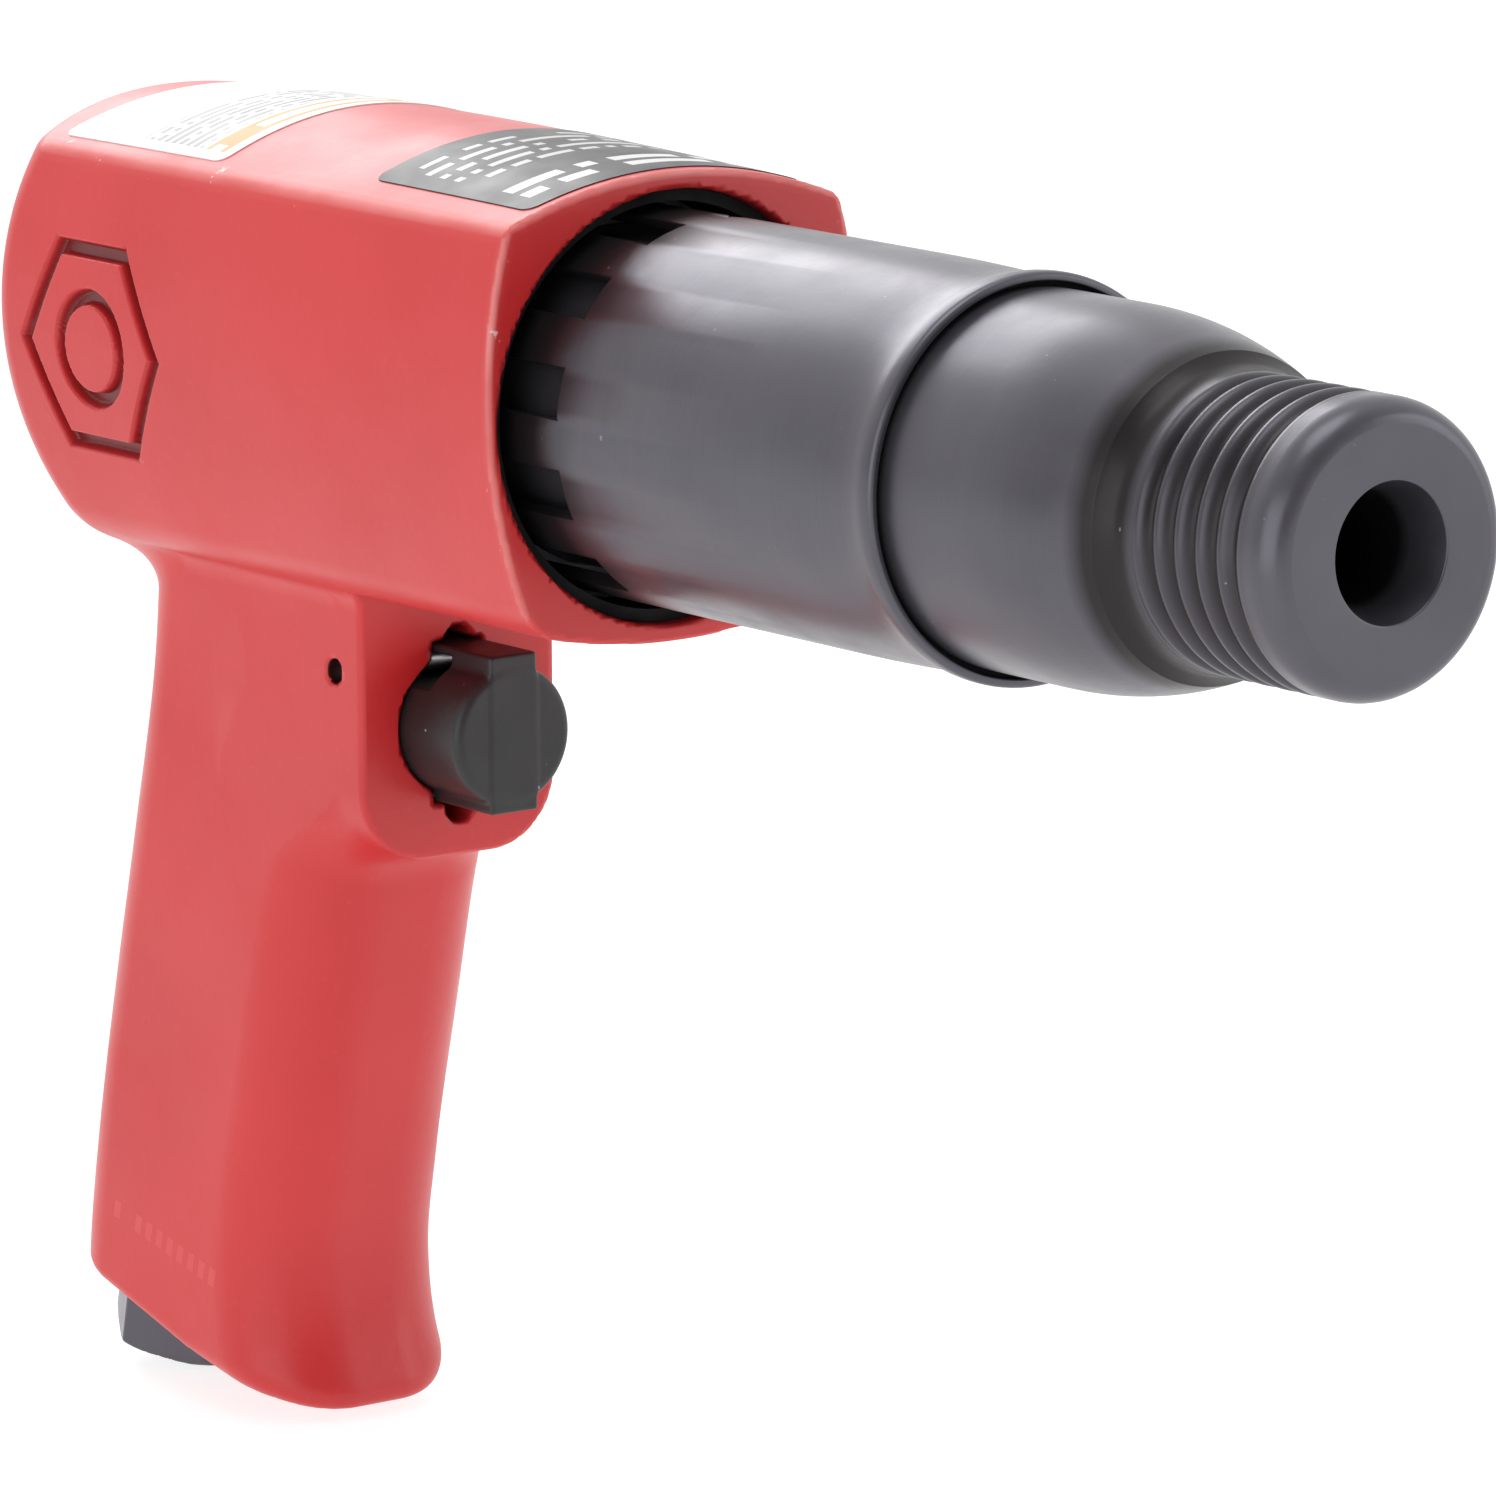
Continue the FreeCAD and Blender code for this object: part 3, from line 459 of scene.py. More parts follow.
def black_plastic():
    """Moulded black nylon: fine spark texture and a few pale dust specks."""
    m = Nodes("black_plastic", 0.42)
    grain = m.noise(1400.0, 3.0)
    base = m.mix(m.ramp(m.noise(80.0, 3.0), 0.3, 0.7), (0.012, 0.012, 0.013), (0.019, 0.018, 0.020))
    dust = m.ramp(m.noise(520.0, 1.0), 0.78, 0.81)
    m.colour(m.mix(dust, base, (0.35, 0.34, 0.34)))
    m.roughness(m.ramp(m.noise(140.0, 4.0), 0.3, 0.7, 0.36, 0.50))
    m.bump(grain, 0.12, 0.0002)
    return m.material


def black_rubber():
    """Dull moulded rubber."""
    m = Nodes("black_rubber", 0.75)
    m.colour(m.mix(m.ramp(m.noise(120.0, 4.0), 0.3, 0.7), (0.006, 0.006, 0.006), (0.012, 0.011, 0.011)))
    m.shader.inputs["Specular IOR Level"].default_value = 0.2
    m.roughness(m.ramp(m.noise(200.0, 3.0), 0.3, 0.7, 0.65, 0.85))
    m.bump(m.noise(1100.0, 3.0), 0.2, 0.0002)
    return m.material


def plain_metal(name, low, high, roughness):
    """Machined metal for hidden and small parts: fine lines, uneven tone."""
    m = Nodes(name, roughness, 1.0)
    lines = m.noise(50.0, 2.0, m.stretch((40.0, 1.0, 1.0)))
    m.colour(m.mix(m.ramp(m.noise(70.0, 4.0), 0.3, 0.7), low, high))
    m.roughness(m.ramp(lines, 0.3, 0.7, roughness - 0.07, roughness + 0.07))
    m.bump(lines, 0.1, 0.0002)
    return m.material


def dashes(m, along, across, pitch, share, length, seed):
    """Rows of plain dashes: rows repeat over along, and break up over across."""
    row = m.math("DIVIDE", along, pitch)
    in_row = m.math("LESS_THAN", m.math("FRACT", row), share)
    joined = m.tree.nodes.new("ShaderNodeCombineXYZ")
    m.link(m.math("FLOOR", row), joined.inputs["X"])
    m.link(m.math("FLOOR", m.math("DIVIDE", across, length)), joined.inputs["Y"])
    joined.inputs["Z"].default_value = seed
    pick = m.tree.nodes.new("ShaderNodeTexWhiteNoise")
    m.link(joined.outputs["Vector"], pick.inputs["Vector"])
    return m.math("MULTIPLY", in_row, m.math("GREATER_THAN", pick.outputs["Value"], 0.28))


def between(m, value, low, high):
    """1 where low < value < high."""
    return m.math("MULTIPLY", m.math("GREATER_THAN", value, low), m.math("LESS_THAN", value, high))


def warning_sticker():
    """White vinyl with an orange band and grey rows of plain dashes."""
    m = Nodes("warning_vinyl", 0.30)
    x, y, _ = m.apart()
    high = [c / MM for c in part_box("warning_label")[1]]
    behind = m.math("SUBTRACT", high[0], x)
    inside = m.math("LESS_THAN", m.math("ABSOLUTE", y), high[1] - 1.6)
    white = m.mix(m.ramp(m.noise(90.0, 4.0), 0.3, 0.7), (0.80, 0.80, 0.78), (0.90, 0.90, 0.88))
    band = m.math("MULTIPLY", between(m, behind, 1.7, 5.6), inside)
    sheet = m.mix(band, white, (0.86, 0.33, 0.12))
    bars = m.math("MULTIPLY", dashes(m, m.math("SUBTRACT", behind, 2.7), y, 9.0, 0.22, 2.6, 3.0), band)
    sheet = m.mix(bars, sheet, (0.84, 0.83, 0.80))
    block = m.math("MULTIPLY", between(m, behind, 6.4, 18.4), inside)
    rows = m.math("MULTIPLY", dashes(m, behind, y, 1.5, 0.62, 0.9, 5.0), block)
    sheet = m.mix(m.math("MULTIPLY", rows, 0.75), sheet, (0.16, 0.16, 0.18))
    tail = m.math("MULTIPLY", between(m, behind, 21.5, 28.5), inside)
    rows = m.math("MULTIPLY", dashes(m, behind, y, 3.4, 0.30, 1.4, 9.0), tail)
    sheet = m.mix(m.math("MULTIPLY", rows, 0.45), sheet, (0.35, 0.35, 0.36))
    m.colour(sheet)
    m.shader.inputs["Specular IOR Level"].default_value = 0.15
    m.roughness(m.ramp(m.noise(150.0, 4.0), 0.3, 0.7, 0.30, 0.42))
    m.bump(m.noise(120.0, 3.0), 0.08, 0.0004)
    return m.material


def rating_sticker():
    """Charcoal vinyl with light rows of plain dashes."""
    m = Nodes("plate_vinyl", 0.30)
    x, y, _ = m.apart()
    high = [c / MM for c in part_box("rating_plate")[1]]
    behind = m.math("SUBTRACT", high[0], x)
    inside = m.math("LESS_THAN", m.math("ABSOLUTE", y), high[1] - 2.6)
    grey = m.mix(m.ramp(m.noise(90.0, 4.0), 0.3, 0.7), (0.022, 0.020, 0.023), (0.036, 0.034, 0.038))
    large = m.math("MULTIPLY", between(m, behind, 3.0, 9.5), inside)
    rows = m.math("MULTIPLY", dashes(m, m.math("SUBTRACT", behind, 3.2), y, 3.3, 0.60, 2.3, 2.0), large)
    sheet = m.mix(rows, grey, (0.66, 0.65, 0.65))
    small = m.math("MULTIPLY", between(m, behind, 12.4, 26.2), inside)
    rows = m.math("MULTIPLY", dashes(m, behind, y, 2.8, 0.40, 1.2, 4.0), small)
    m.colour(m.mix(m.math("MULTIPLY", rows, 0.9), sheet, (0.60, 0.59, 0.59)))
    m.shader.inputs["Specular IOR Level"].default_value = 0.25
    m.roughness(m.ramp(m.noise(150.0, 4.0), 0.3, 0.7, 0.30, 0.42))
    m.bump(m.noise(120.0, 3.0), 0.08, 0.0004)
    return m.material


STEEL = plain_metal("bright_steel", (0.46, 0.46, 0.47), (0.58, 0.58, 0.59), 0.28)
BRASS = plain_metal("brass", (0.62, 0.42, 0.17), (0.74, 0.54, 0.26), 0.30)
RED = red_paint()
BLACK_STEEL = black_steel(painted_thread_shade=True)
SLEEVE_STEEL = black_steel("sleeve_steel", shade_at_mouth=True)
INLET_STEEL = black_steel("inlet_steel", turned=False)
PLASTIC = black_plastic()
RUBBER = black_rubber()
WARNING = warning_sticker()
PLATE = rating_sticker()


# ---------------------------------------------------------------- distances
def round_max(a, b, radius):
    """Intersection of two distances, with a rounded edge."""
    inner = np.minimum(-radius, np.maximum(a, b))
    return inner + np.hypot(np.maximum(radius + a, 0), np.maximum(radius + b, 0))


def round_min(a, b, radius):
    """Union of two distances, with a filleted corner."""
    return -round_max(-a, -b, radius)


def rounded_box(qx, qy, radius):
    """Distance to a rounded corner, from the two distances past its arc's centre."""
    return np.minimum(np.maximum(qx, qy), 0) + np.hypot(np.maximum(qx, 0), np.maximum(qy, 0)) - radius


def along_grip(z, column):
    """One column of the grip's sections, as a smooth curve over z."""
    levels, values = GRIP_SECTIONS[:, 0], GRIP_SECTIONS[:, column]
    slopes = np.gradient(values, levels)
    z = np.clip(z, levels[0], levels[-1])
    i = np.clip(np.searchsorted(levels, z) - 1, 0, len(levels) - 2)
    span = levels[i + 1] - levels[i]
    t = (z - levels[i]) / span
    ends = (2 * t**3 - 3 * t**2 + 1) * values[i] + (3 * t**2 - 2 * t**3) * values[i + 1]
    return ends + (t**3 - 2 * t**2 + t) * span * slopes[i] + (t**3 - t**2) * span * slopes[i + 1]


def top_height(x, y):
    """Height of the crowned top, which swells both lengthwise and across."""
    rise = TOP_RISE + TOP_EXTRA_RISE * (1 - ((x - TOP_HIGHEST) / TOP_HALF_LENGTH) ** 2)
    return TOP_CORNER[1] + rise * (1 - (y / TOP_CORNER[0]) ** 2)


def body_distance(x, y, z):
    """Bowed rounded-square body with a domed rear."""
    sy, sz, sr = SIDE_ARC
    _, bz, br = BELLY_ARC
    dr, dz, dome_r = DOME_ARC
    side = np.hypot(np.abs(y) - sy, z - sz) - sr
    belly = np.hypot(y, z - bz) - br
    out = np.hypot(np.minimum(x - DOME_AXIS, 0), y)
    back = np.hypot(np.maximum(out - dr, 0), z - dz) - dome_r
    back = np.where(x < DOME_AXIS, back, -10.0)
    body = round_max(round_max(side, belly, 2.8), back, 1.8)
    lean = np.clip(np.abs(y) / TOP_CORNER[0], 0, 1) * 2 * (TOP_RISE + TOP_EXTRA_RISE) / TOP_CORNER[0]
    body = round_max(body, (z - top_height(x, y)) / np.hypot(1, lean), 0.9)
    return round_max(body, x - BODY_FRONT, 0.5)


def handle_distance(x, y, z):
    """Grip with its sloping base, joined to the trigger boss."""
    rear, front, half = (along_grip(z, column) for column in (1, 2, 3))
    from_middle = x - (rear + front) / 2
    radius = np.where(from_middle > 0, along_grip(z, 5), along_grip(z, 4))
    grip = rounded_box(np.abs(from_middle) - (front - rear) / 2 + radius, np.abs(y) - half + radius, radius)
    grip = grip * math.cos(INLET_TILT)
    (x0, z0), (x1, z1) = BASE_REAR, BASE_FRONT
    length = math.hypot(x1 - x0, z1 - z0)
    base = (x - x0) * (z1 - z0) / length - (z - z0) * (x1 - x0) / length
    grip = round_max(grip, base, 1.6 + 2.4 * np.clip((x + 205) / 15, 0, 1))
    boss = rounded_box(np.abs(y) - (BOSS_HALF_WIDTH - BOSS_CORNER_R),
                       -z + BOSS_BOTTOM + BOSS_CORNER_R, BOSS_CORNER_R)
    boss = np.maximum(boss + 0.08 * np.maximum(-190.0 - x, 0), -x - 202)
    blend = 0.5 + 4.5 * np.clip((-40.0 - z) / 14, 0, 1) * np.clip((x + 198) / 12, 0, 1)
    handle = np.maximum(round_min(grip, boss, blend), np.abs(y) - np.maximum(half, BOSS_HALF_WIDTH))
    return np.maximum(handle, z + 10)


def inlet_local(x, y, z):
    """Distances along the inlet's tilted axis from its mouth, across it in side view, and from it."""
    ux, uz = math.sin(INLET_TILT), math.cos(INLET_TILT)
    dx, dz = x - INLET_MOUTH[0], z - INLET_MOUTH[1]
    across = dx * uz - dz * ux
    return dx * ux + dz * uz, across, np.hypot(across, y)


def bores_distance(x, y, z):
    """Everything bored out of the casting."""
    r = np.hypot(y, z)
    bore = np.inf
    for radius, end in (MOUTH_BORE, BARREL_BORE, VALVE_BORE, REAR_BORE):
        bore = np.minimum(bore, np.maximum(r - radius, end - x))
    along, _, away = inlet_local(x, y, z)
    for radius, depth in (INLET_BORE, INLET_RECESS, PASSAGE):
        bore = np.minimum(bore, np.maximum(away - radius, np.maximum(along - depth, -along - 10)))
    pin = np.hypot(x - PIN_X, z - PIN_Z) - PIN_HOLE_R
    return np.minimum(np.minimum(bore, trigger_bores(x, y, z)), pin)


def trigger_bores(x, y, z):
    """Bores on the trigger's axis, with the two key slots that guide the button."""
    up = z - TRIGGER_Z
    away = np.hypot(y, up)
    slots = np.maximum(np.abs(y) - KEY_SLOT_HALF_WIDTH, np.abs(up - KEY_SLOT_MIDDLE) - KEY_SLOT_HALF_HEIGHT)
    relief = np.hypot(y, np.abs(up - KEY_RELIEF_MIDDLE) - KEY_RELIEF_REACH) - KEY_RELIEF_R
    slots = np.maximum(np.minimum(slots, relief), KEY_SLOT_REAR - x)
    trigger = np.maximum(np.minimum(away - TRIGGER_BORE[0], slots), TRIGGER_BORE[1] - x)
    throttle = np.maximum(away - THROTTLE_BORE[0], THROTTLE_BORE[1] - x)
    return np.maximum(np.minimum(trigger, throttle), x - BORES_FRONT)


def housing_outside(x, y, z):
    """Body and handle with a filleted neck, cut flat at the boss's front."""
    body = body_distance(x, y, z)
    fillet = 2.6 + 5.4 * np.clip((-203.0 - x) / 14, 0, 1)
    lower = round_min(body, handle_distance(x, y, z), fillet)
    return np.minimum(body, round_max(lower, x - BOSS_FRONT, 0.7))


def housing_distance(x, y, z):
    return round_max(housing_outside(x, y, z), -bores_distance(x, y, z), 0.35)


# ---------------------------------------------------------------- surface from a distance
def grid_surface(distance, low, high, step):
    """Dual-grid surface (surface nets) of distance = 0: vertices in mm and quads."""
    axes = [np.arange(a, b + step, step) for a, b in zip(low, high)]
    x, y, z = np.meshgrid(*axes, indexing="ij", sparse=True)
    field = distance(x, y, z).astype(np.float32)
    inside = field < 0
    n = [s - 1 for s in field.shape]
    corners = [(i, j, k) for i in (0, 1) for j in (0, 1) for k in (0, 1)]
    count = sum(inside[i:i + n[0], j:j + n[1], k:k + n[2]].astype(np.int8) for i, j, k in corners)
    active = (count > 0) & (count < 8)
    cells = np.argwhere(active)
    number = np.full(active.shape, -1, np.int32)
    number[active] = np.arange(len(cells))
    at = {c: field[cells[:, 0] + c[0], cells[:, 1] + c[1], cells[:, 2] + c[2]] for c in corners}
    total = np.zeros((len(cells), 3))
    hits = np.zeros(len(cells))
    for start in corners:
        for axis in range(3):
            if start[axis]:
                continue
            end = tuple(1 if d == axis else start[d] for d in range(3))
            crossing = (at[start] < 0) != (at[end] < 0)
            drop = np.where(crossing, at[start] - at[end], 1.0)
            share = np.where(crossing, at[start] / drop, 0.0)
            point = np.array(start, float) + share[:, None] * (np.array(end) - np.array(start))
            total += np.where(crossing[:, None], point, 0.0)
            hits += crossing
    vertices = (cells + total / hits[:, None]) * step + np.array([a[0] for a in axes])
    return vertices, grid_quads(inside, number)


def grid_quads(inside, number):
    """One quad round each grid edge that the surface crosses."""
    quads = []
    for axis in range(3):
        first, second = [d for d in range(3) if d != axis]
        near = np.take(inside, range(inside.shape[axis] - 1), axis)
        far = np.take(inside, range(1, inside.shape[axis]), axis)
        edges = np.argwhere(near != far)
        starts_inside = near[edges[:, 0], edges[:, 1], edges[:, 2]]
        if axis == 1:
            starts_inside = ~starts_inside
        around = []
        for a, b in ((-1, -1), (0, -1), (0, 0), (-1, 0)):
            cell = edges.copy()
            cell[:, first] += a
            cell[:, second] += b
            around.append(number[cell[:, 0], cell[:, 1], cell[:, 2]])
        quad = np.stack(around, 1)
        quad[~starts_inside] = quad[~starts_inside][:, ::-1]
        quads.append(quad)
    return np.concatenate(quads)


def slope(distance, points, reach=0.03):
    """Gradient of a distance at points."""
    result = np.empty_like(points)
    for axis in range(3):
        step = np.zeros(3)
        step[axis] = reach
        ahead, behind = points + step, points - step
        result[:, axis] = (distance(*ahead.T) - distance(*behind.T)) / (2 * reach)
    return result


def settle(distance, points, rounds=3):
    """Moves points onto distance = 0 by Newton steps."""
    for _ in range(rounds):
        g = slope(distance, points)
        points = points - g * (distance(*points.T) / np.maximum((g * g).sum(1), 0.25))[:, None]
    return points


def new_object(name, vertices, faces, smooth=True):
    """Mesh object from vertices in mm."""
    mesh = bpy.data.meshes.new(name)
    mesh.from_pydata([tuple(v) for v in np.asarray(vertices) * MM], [], [tuple(f) for f in faces])
    mesh.validate()
    if smooth:
        mesh.shade_smooth()
    obj = bpy.data.objects.new(name, mesh)
    bpy.context.scene.collection.objects.link(obj)
    return obj


def apply_modifiers(obj):
    """Bakes the object's modifiers into its mesh."""
    bpy.context.view_layer.update()
    graph = bpy.context.evaluated_depsgraph_get()
    done = bpy.data.meshes.new_from_object(obj.evaluated_get(graph))
    old = obj.data
    obj.modifiers.clear()
    obj.data = done
    bpy.data.meshes.remove(old)
    done.name = obj.name
    return obj


# ---------------------------------------------------------------- housing piece
def groove(distance, width, edge=0.35):
    """1 in the middle of a groove along distance = 0, falling to 0 at its sides."""
    return np.clip((width / 2 + edge / 2 - np.abs(distance)) / edge, 0, 1)


def mark_depth(x, y, z):
    """Depth of the engraved nut pictogram on the near side: a hexagon round a circle."""
    u, v = x - MARK_CENTRE[0], z - MARK_CENTRE[1]
    flats = MARK_R * math.cos(math.radians(30))
    hexagon = -np.inf
    for turn in range(6):
        angle = math.radians(60 * turn + 30)
        hexagon = np.maximum(hexagon, u * math.cos(angle) + v * math.sin(angle) - flats)
    shape = np.maximum(groove(hexagon, MARK_GROOVE), groove(np.hypot(u, v) - MARK_CIRCLE_R, MARK_GROOVE))
    return MARK_DEPTH * shape * (y < -15)


def near_mark(points):
    """True for points on the near side, in and just round the engraved mark."""
    away = np.hypot(points[:, 0] - MARK_CENTRE[0], points[:, 2] - MARK_CENTRE[1])
    return (points[:, 1] < -20) & (away < MARK_R + 1.5)


def exact_normals(mesh, distance, chosen):
    """Shading normals straight from the distance, for the chosen vertices."""
    points = np.array([v.co for v in mesh.vertices]) / MM
    normals = slope(distance, points)
    normals /= np.maximum(np.linalg.norm(normals, axis=1), 1e-9)[:, None]
    normals[~chosen(points)] = 0
    mesh.normals_split_custom_set_from_vertices([tuple(n) for n in normals])


def housing_piece():
    """Cast housing: smooth neck, domed rear, bores and the engraved mark."""
    low = [c / MM - 3 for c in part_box("handle_housing")[0]]
    high = [c / MM + 3 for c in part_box("handle_housing")[1]]
    step = 0.72
    points, quads = grid_surface(housing_distance, low, high, step)
    points = settle(housing_distance, points)
    obj = new_object("housing_casting", points, quads)
    mesh = obj.data
    bm = bmesh.new()
    bm.from_mesh(mesh)
    reach = (MARK_R + 1.5) * MM
    centre = Vector((MARK_CENTRE[0] * MM, 0, MARK_CENTRE[1] * MM))
    near = [e for e in bm.edges if all(
        v.co.y < -0.02 and (Vector((v.co.x, 0, v.co.z)) - centre).length < reach for v in e.verts)]
    bmesh.ops.subdivide_edges(bm, edges=near, cuts=3, use_grid_fill=True)
    bmesh.ops.triangulate(bm, faces=bm.faces[:])
    bm.to_mesh(mesh)
    bm.free()
    points = np.array([v.co for v in mesh.vertices]) / MM
    points = settle(housing_distance, points, 2)
    normals = slope(housing_distance, points)
    normals /= np.maximum(np.linalg.norm(normals, axis=1), 1e-9)[:, None]
    points = points - normals * mark_depth(*points.T)[:, None]
    mesh.vertices.foreach_set("co", (points * MM).astype(np.float32).ravel())
    mesh.update()
    limit_triangles(obj, 190000, near_mark)
    obj.data.shade_smooth()
    exact_normals(obj.data, housing_distance, lambda p: ~near_mark(p))
    obj.data.materials.append(RED)
    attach(obj, "tool_body")
    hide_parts("handle_housing")
    return obj


def limit_triangles(obj, most, keep):
    """Thins a mesh to at most that many triangles, leaving the region named by keep alone."""
    now = sum(len(p.vertices) - 2 for p in obj.data.polygons)
    if now <= most:
        return
    points = np.array([v.co for v in obj.data.vertices]) / MM
    free = np.nonzero(~keep(points))[0]
    group = obj.vertex_groups.new(name="thin")
    group.add([int(i) for i in free], 1.0, "REPLACE")
    thin = obj.modifiers.new("thin", "DECIMATE")
    thin.ratio = most / now
    thin.vertex_group = "thin"
    apply_modifiers(obj)
    obj.vertex_groups.clear()


# ---------------------------------------------------------------- turned pieces
def soften(corners):
    """Outline from (x, r, fillet) corners, each fillet drawn as a short arc."""
    outline = []
    for i, (x, r, fillet) in enumerate(corners):
        here = np.array((x, r))
        before = np.array(corners[i - 1][:2]) - here
        after = np.array(corners[(i + 1) % len(corners)][:2]) - here
        if fillet == 0:
            outline.append((x, r))
            continue
        before = before / np.linalg.norm(before)
        after = after / np.linalg.norm(after)
        half = math.acos(np.clip(before @ after, -1, 1)) / 2
        reach = fillet / math.tan(half)
        middle = here + (before + after) / np.linalg.norm(before + after) * fillet / math.sin(half)
        start, end = here + before * reach - middle, here + after * reach - middle
        steps = 6
        for step in range(steps + 1):
            point = start * (1 - step / steps) + end * step / steps
            outline.append(tuple(middle + point / np.linalg.norm(point) * fillet))
    return outline


def finely(outline, rear, front, step):
    """Adds points on the stretches of an outline that lie between rear and front."""
    result = []
    for i, (x, r) in enumerate(outline):
        result.append((x, r))
        nx, nr = outline[(i + 1) % len(outline)]
        if min(x, nx) < rear or max(x, nx) > front or min(r, nr) < THREAD_ROOT_R - 1:
            continue
        count = int(math.hypot(nx - x, nr - r) / step)
        shares = [k / (count + 1) for k in range(1, count + 1)]
        result += [(x + (nx - x) * share, r + (nr - r) * share) for share in shares]
    return result


def turned(name, outline, segments, radius_change=None):
    """Closed ring-shaped mesh turned about the X axis from a closed (x, r) outline."""
    x, r = np.array(outline).T
    angle = np.arange(segments) * 2 * math.pi / segments
    grid_r = np.tile(r, (segments, 1))
    if radius_change:
        grid_r = grid_r + radius_change(np.tile(x, (segments, 1)), angle[:, None], grid_r)
    y, z = grid_r * np.cos(angle)[:, None], grid_r * np.sin(angle)[:, None]
    points = np.stack([np.tile(x, (segments, 1)), y, z], 2).reshape(-1, 3)
    n = len(outline)
    faces = []
    for i in range(segments):
        for j in range(n):
            k, after = (j + 1) % n, (i + 1) % segments
            faces.append((i * n + j, i * n + k, after * n + k, after * n + j))
    return new_object(name, points, faces)


def finish_piece(obj, material, node, body="tool_body", sharp=38):
    """Material, crease angle, body and the CAD node that this piece stands for."""
    bm = bmesh.new()
    bm.from_mesh(obj.data)
    bmesh.ops.recalc_face_normals(bm, faces=bm.faces)
    bm.to_mesh(obj.data)
    bm.free()
    obj.data.shade_smooth()
    obj.data.set_sharp_from_angle(angle=math.radians(sharp))
    obj.data.materials.clear()
    obj.data.materials.append(material)
    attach(obj, body)
    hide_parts(node)
    return obj


# ---------------------------------------------------------------- barrel
NOSE_FACE_R = 13.6
NOSE_HOLE_R = 7.66
SHANK_BORE_R = 5.15
THREAD_PITCH = 3.45
THREAD_FRONT = (-5.3, -8.6)       # where the groove starts, and where it is full depth
THREAD_REAR = (-21.2, -23.6)      # where it starts to run out, and where it has ended
SHOULDER_EDGE = (-27.4, 18.0)
BARREL_R = 21.1
BARREL_START = -46.0
BARREL_STEP = -63.0
BARREL_WAIST_R = 19.6
CHAMBER_R = 9.55
CHAMBER_FRONT = -42.0
SHANK_TAPER_END = -9.0
WAIST_REAR = -137.8
SCREWED_R = 20.0                  # the part that screws into the casting
SCREWED_REAR = -162.5
TAIL_R = 17.9
BARREL_REAR = -180.0


def thread_depth(x, angle, r):
    """Rounded right-hand groove cut into the nose's crest diameter."""
    first_groove = -6.9
    turn = (x - first_groove + THREAD_PITCH / 2 - THREAD_PITCH * angle / (2 * math.pi)) / THREAD_PITCH
    shape = (0.5 + 0.5 * np.cos(2 * math.pi * turn)) ** 1.3
    fade_in = np.clip((THREAD_FRONT[0] - x) / (THREAD_FRONT[0] - THREAD_FRONT[1]), 0, 1)
    fade_out = np.clip((x - THREAD_REAR[1]) / (THREAD_REAR[0] - THREAD_REAR[1]), 0, 1)
    depth = (THREAD_CREST_R - THREAD_ROOT_R) * shape * np.sqrt(fade_in) * fade_out
    return -depth * (r > THREAD_ROOT_R)


def barrel_piece():
    """Black steel barrel: flat nose, round thread, swelling shoulder, plain body and bored inside."""
    rim = [(-3.5 * (1 - math.cos(a)), NOSE_FACE_R + (THREAD_CREST_R - NOSE_FACE_R) * math.sin(a), 0)
           for a in np.linspace(0.2, math.pi / 2, 8)]
    swell = []
    for part in np.linspace(0.08, 1, 14):
        x = SHOULDER_EDGE[0] + (BARREL_START - SHOULDER_EDGE[0]) * part
        swell.append((x, BARREL_R - (BARREL_R - SHOULDER_EDGE[1]) * (1 - part) ** 2.1, 0))
    fillet = [(-24.0, THREAD_CREST_R, 0), (-25.3, THREAD_CREST_R + 0.16, 0), (-26.3, THREAD_CREST_R + 0.62, 0)]
    corners = [(0, NOSE_HOLE_R, 0.25), (0, NOSE_FACE_R, 0.3)] + rim + fillet
    corners += [(SHOULDER_EDGE[0], SHOULDER_EDGE[1], 0.35)] + swell + [
        (BARREL_STEP, BARREL_R, 0.4), (BARREL_STEP, BARREL_WAIST_R, 0.3), (WAIST_REAR, BARREL_WAIST_R, 0.1),
        (WAIST_REAR, SCREWED_R, 0.1), (SCREWED_REAR, SCREWED_R, 0.3), (SCREWED_REAR, TAIL_R, 0.2),
        (BARREL_REAR, TAIL_R, 0.5), (BARREL_REAR, CHAMBER_R, 0.2), (CHAMBER_FRONT, CHAMBER_R, 0),
        (CHAMBER_FRONT + 2.5, SHANK_BORE_R, 0), (SHANK_TAPER_END, SHANK_BORE_R, 0)]
    outline = finely(soften(corners), THREAD_REAR[1] - 0.6, THREAD_FRONT[0] + 2.0, 0.2)
    obj = turned("barrel_body", outline, 300, thread_depth)
    return finish_piece(obj, BLACK_STEEL, "barrel")


# ---------------------------------------------------------------- exhaust sleeve
SLEEVE_FRONT = -59.1
SLEEVE_REAR = -134.0
SLEEVE_R = 22.46
SLEEVE_LIP_R = 22.8
SLEEVE_BORE_R = 21.75
SLEEVE_REAR_BORE_R = 21.3
SEAT_FRONT = -63.2                # inner shoulder that the barrel's step presses on
SEAT_REAR = -67.0
SEAT_R = 19.7
NOTCHES = 12
NOTCH_FRONT = -116.5
NOTCH_ANGLE = 15.0
NOTCH_PHASE = 18.0
NOTCH_STEPS = 5


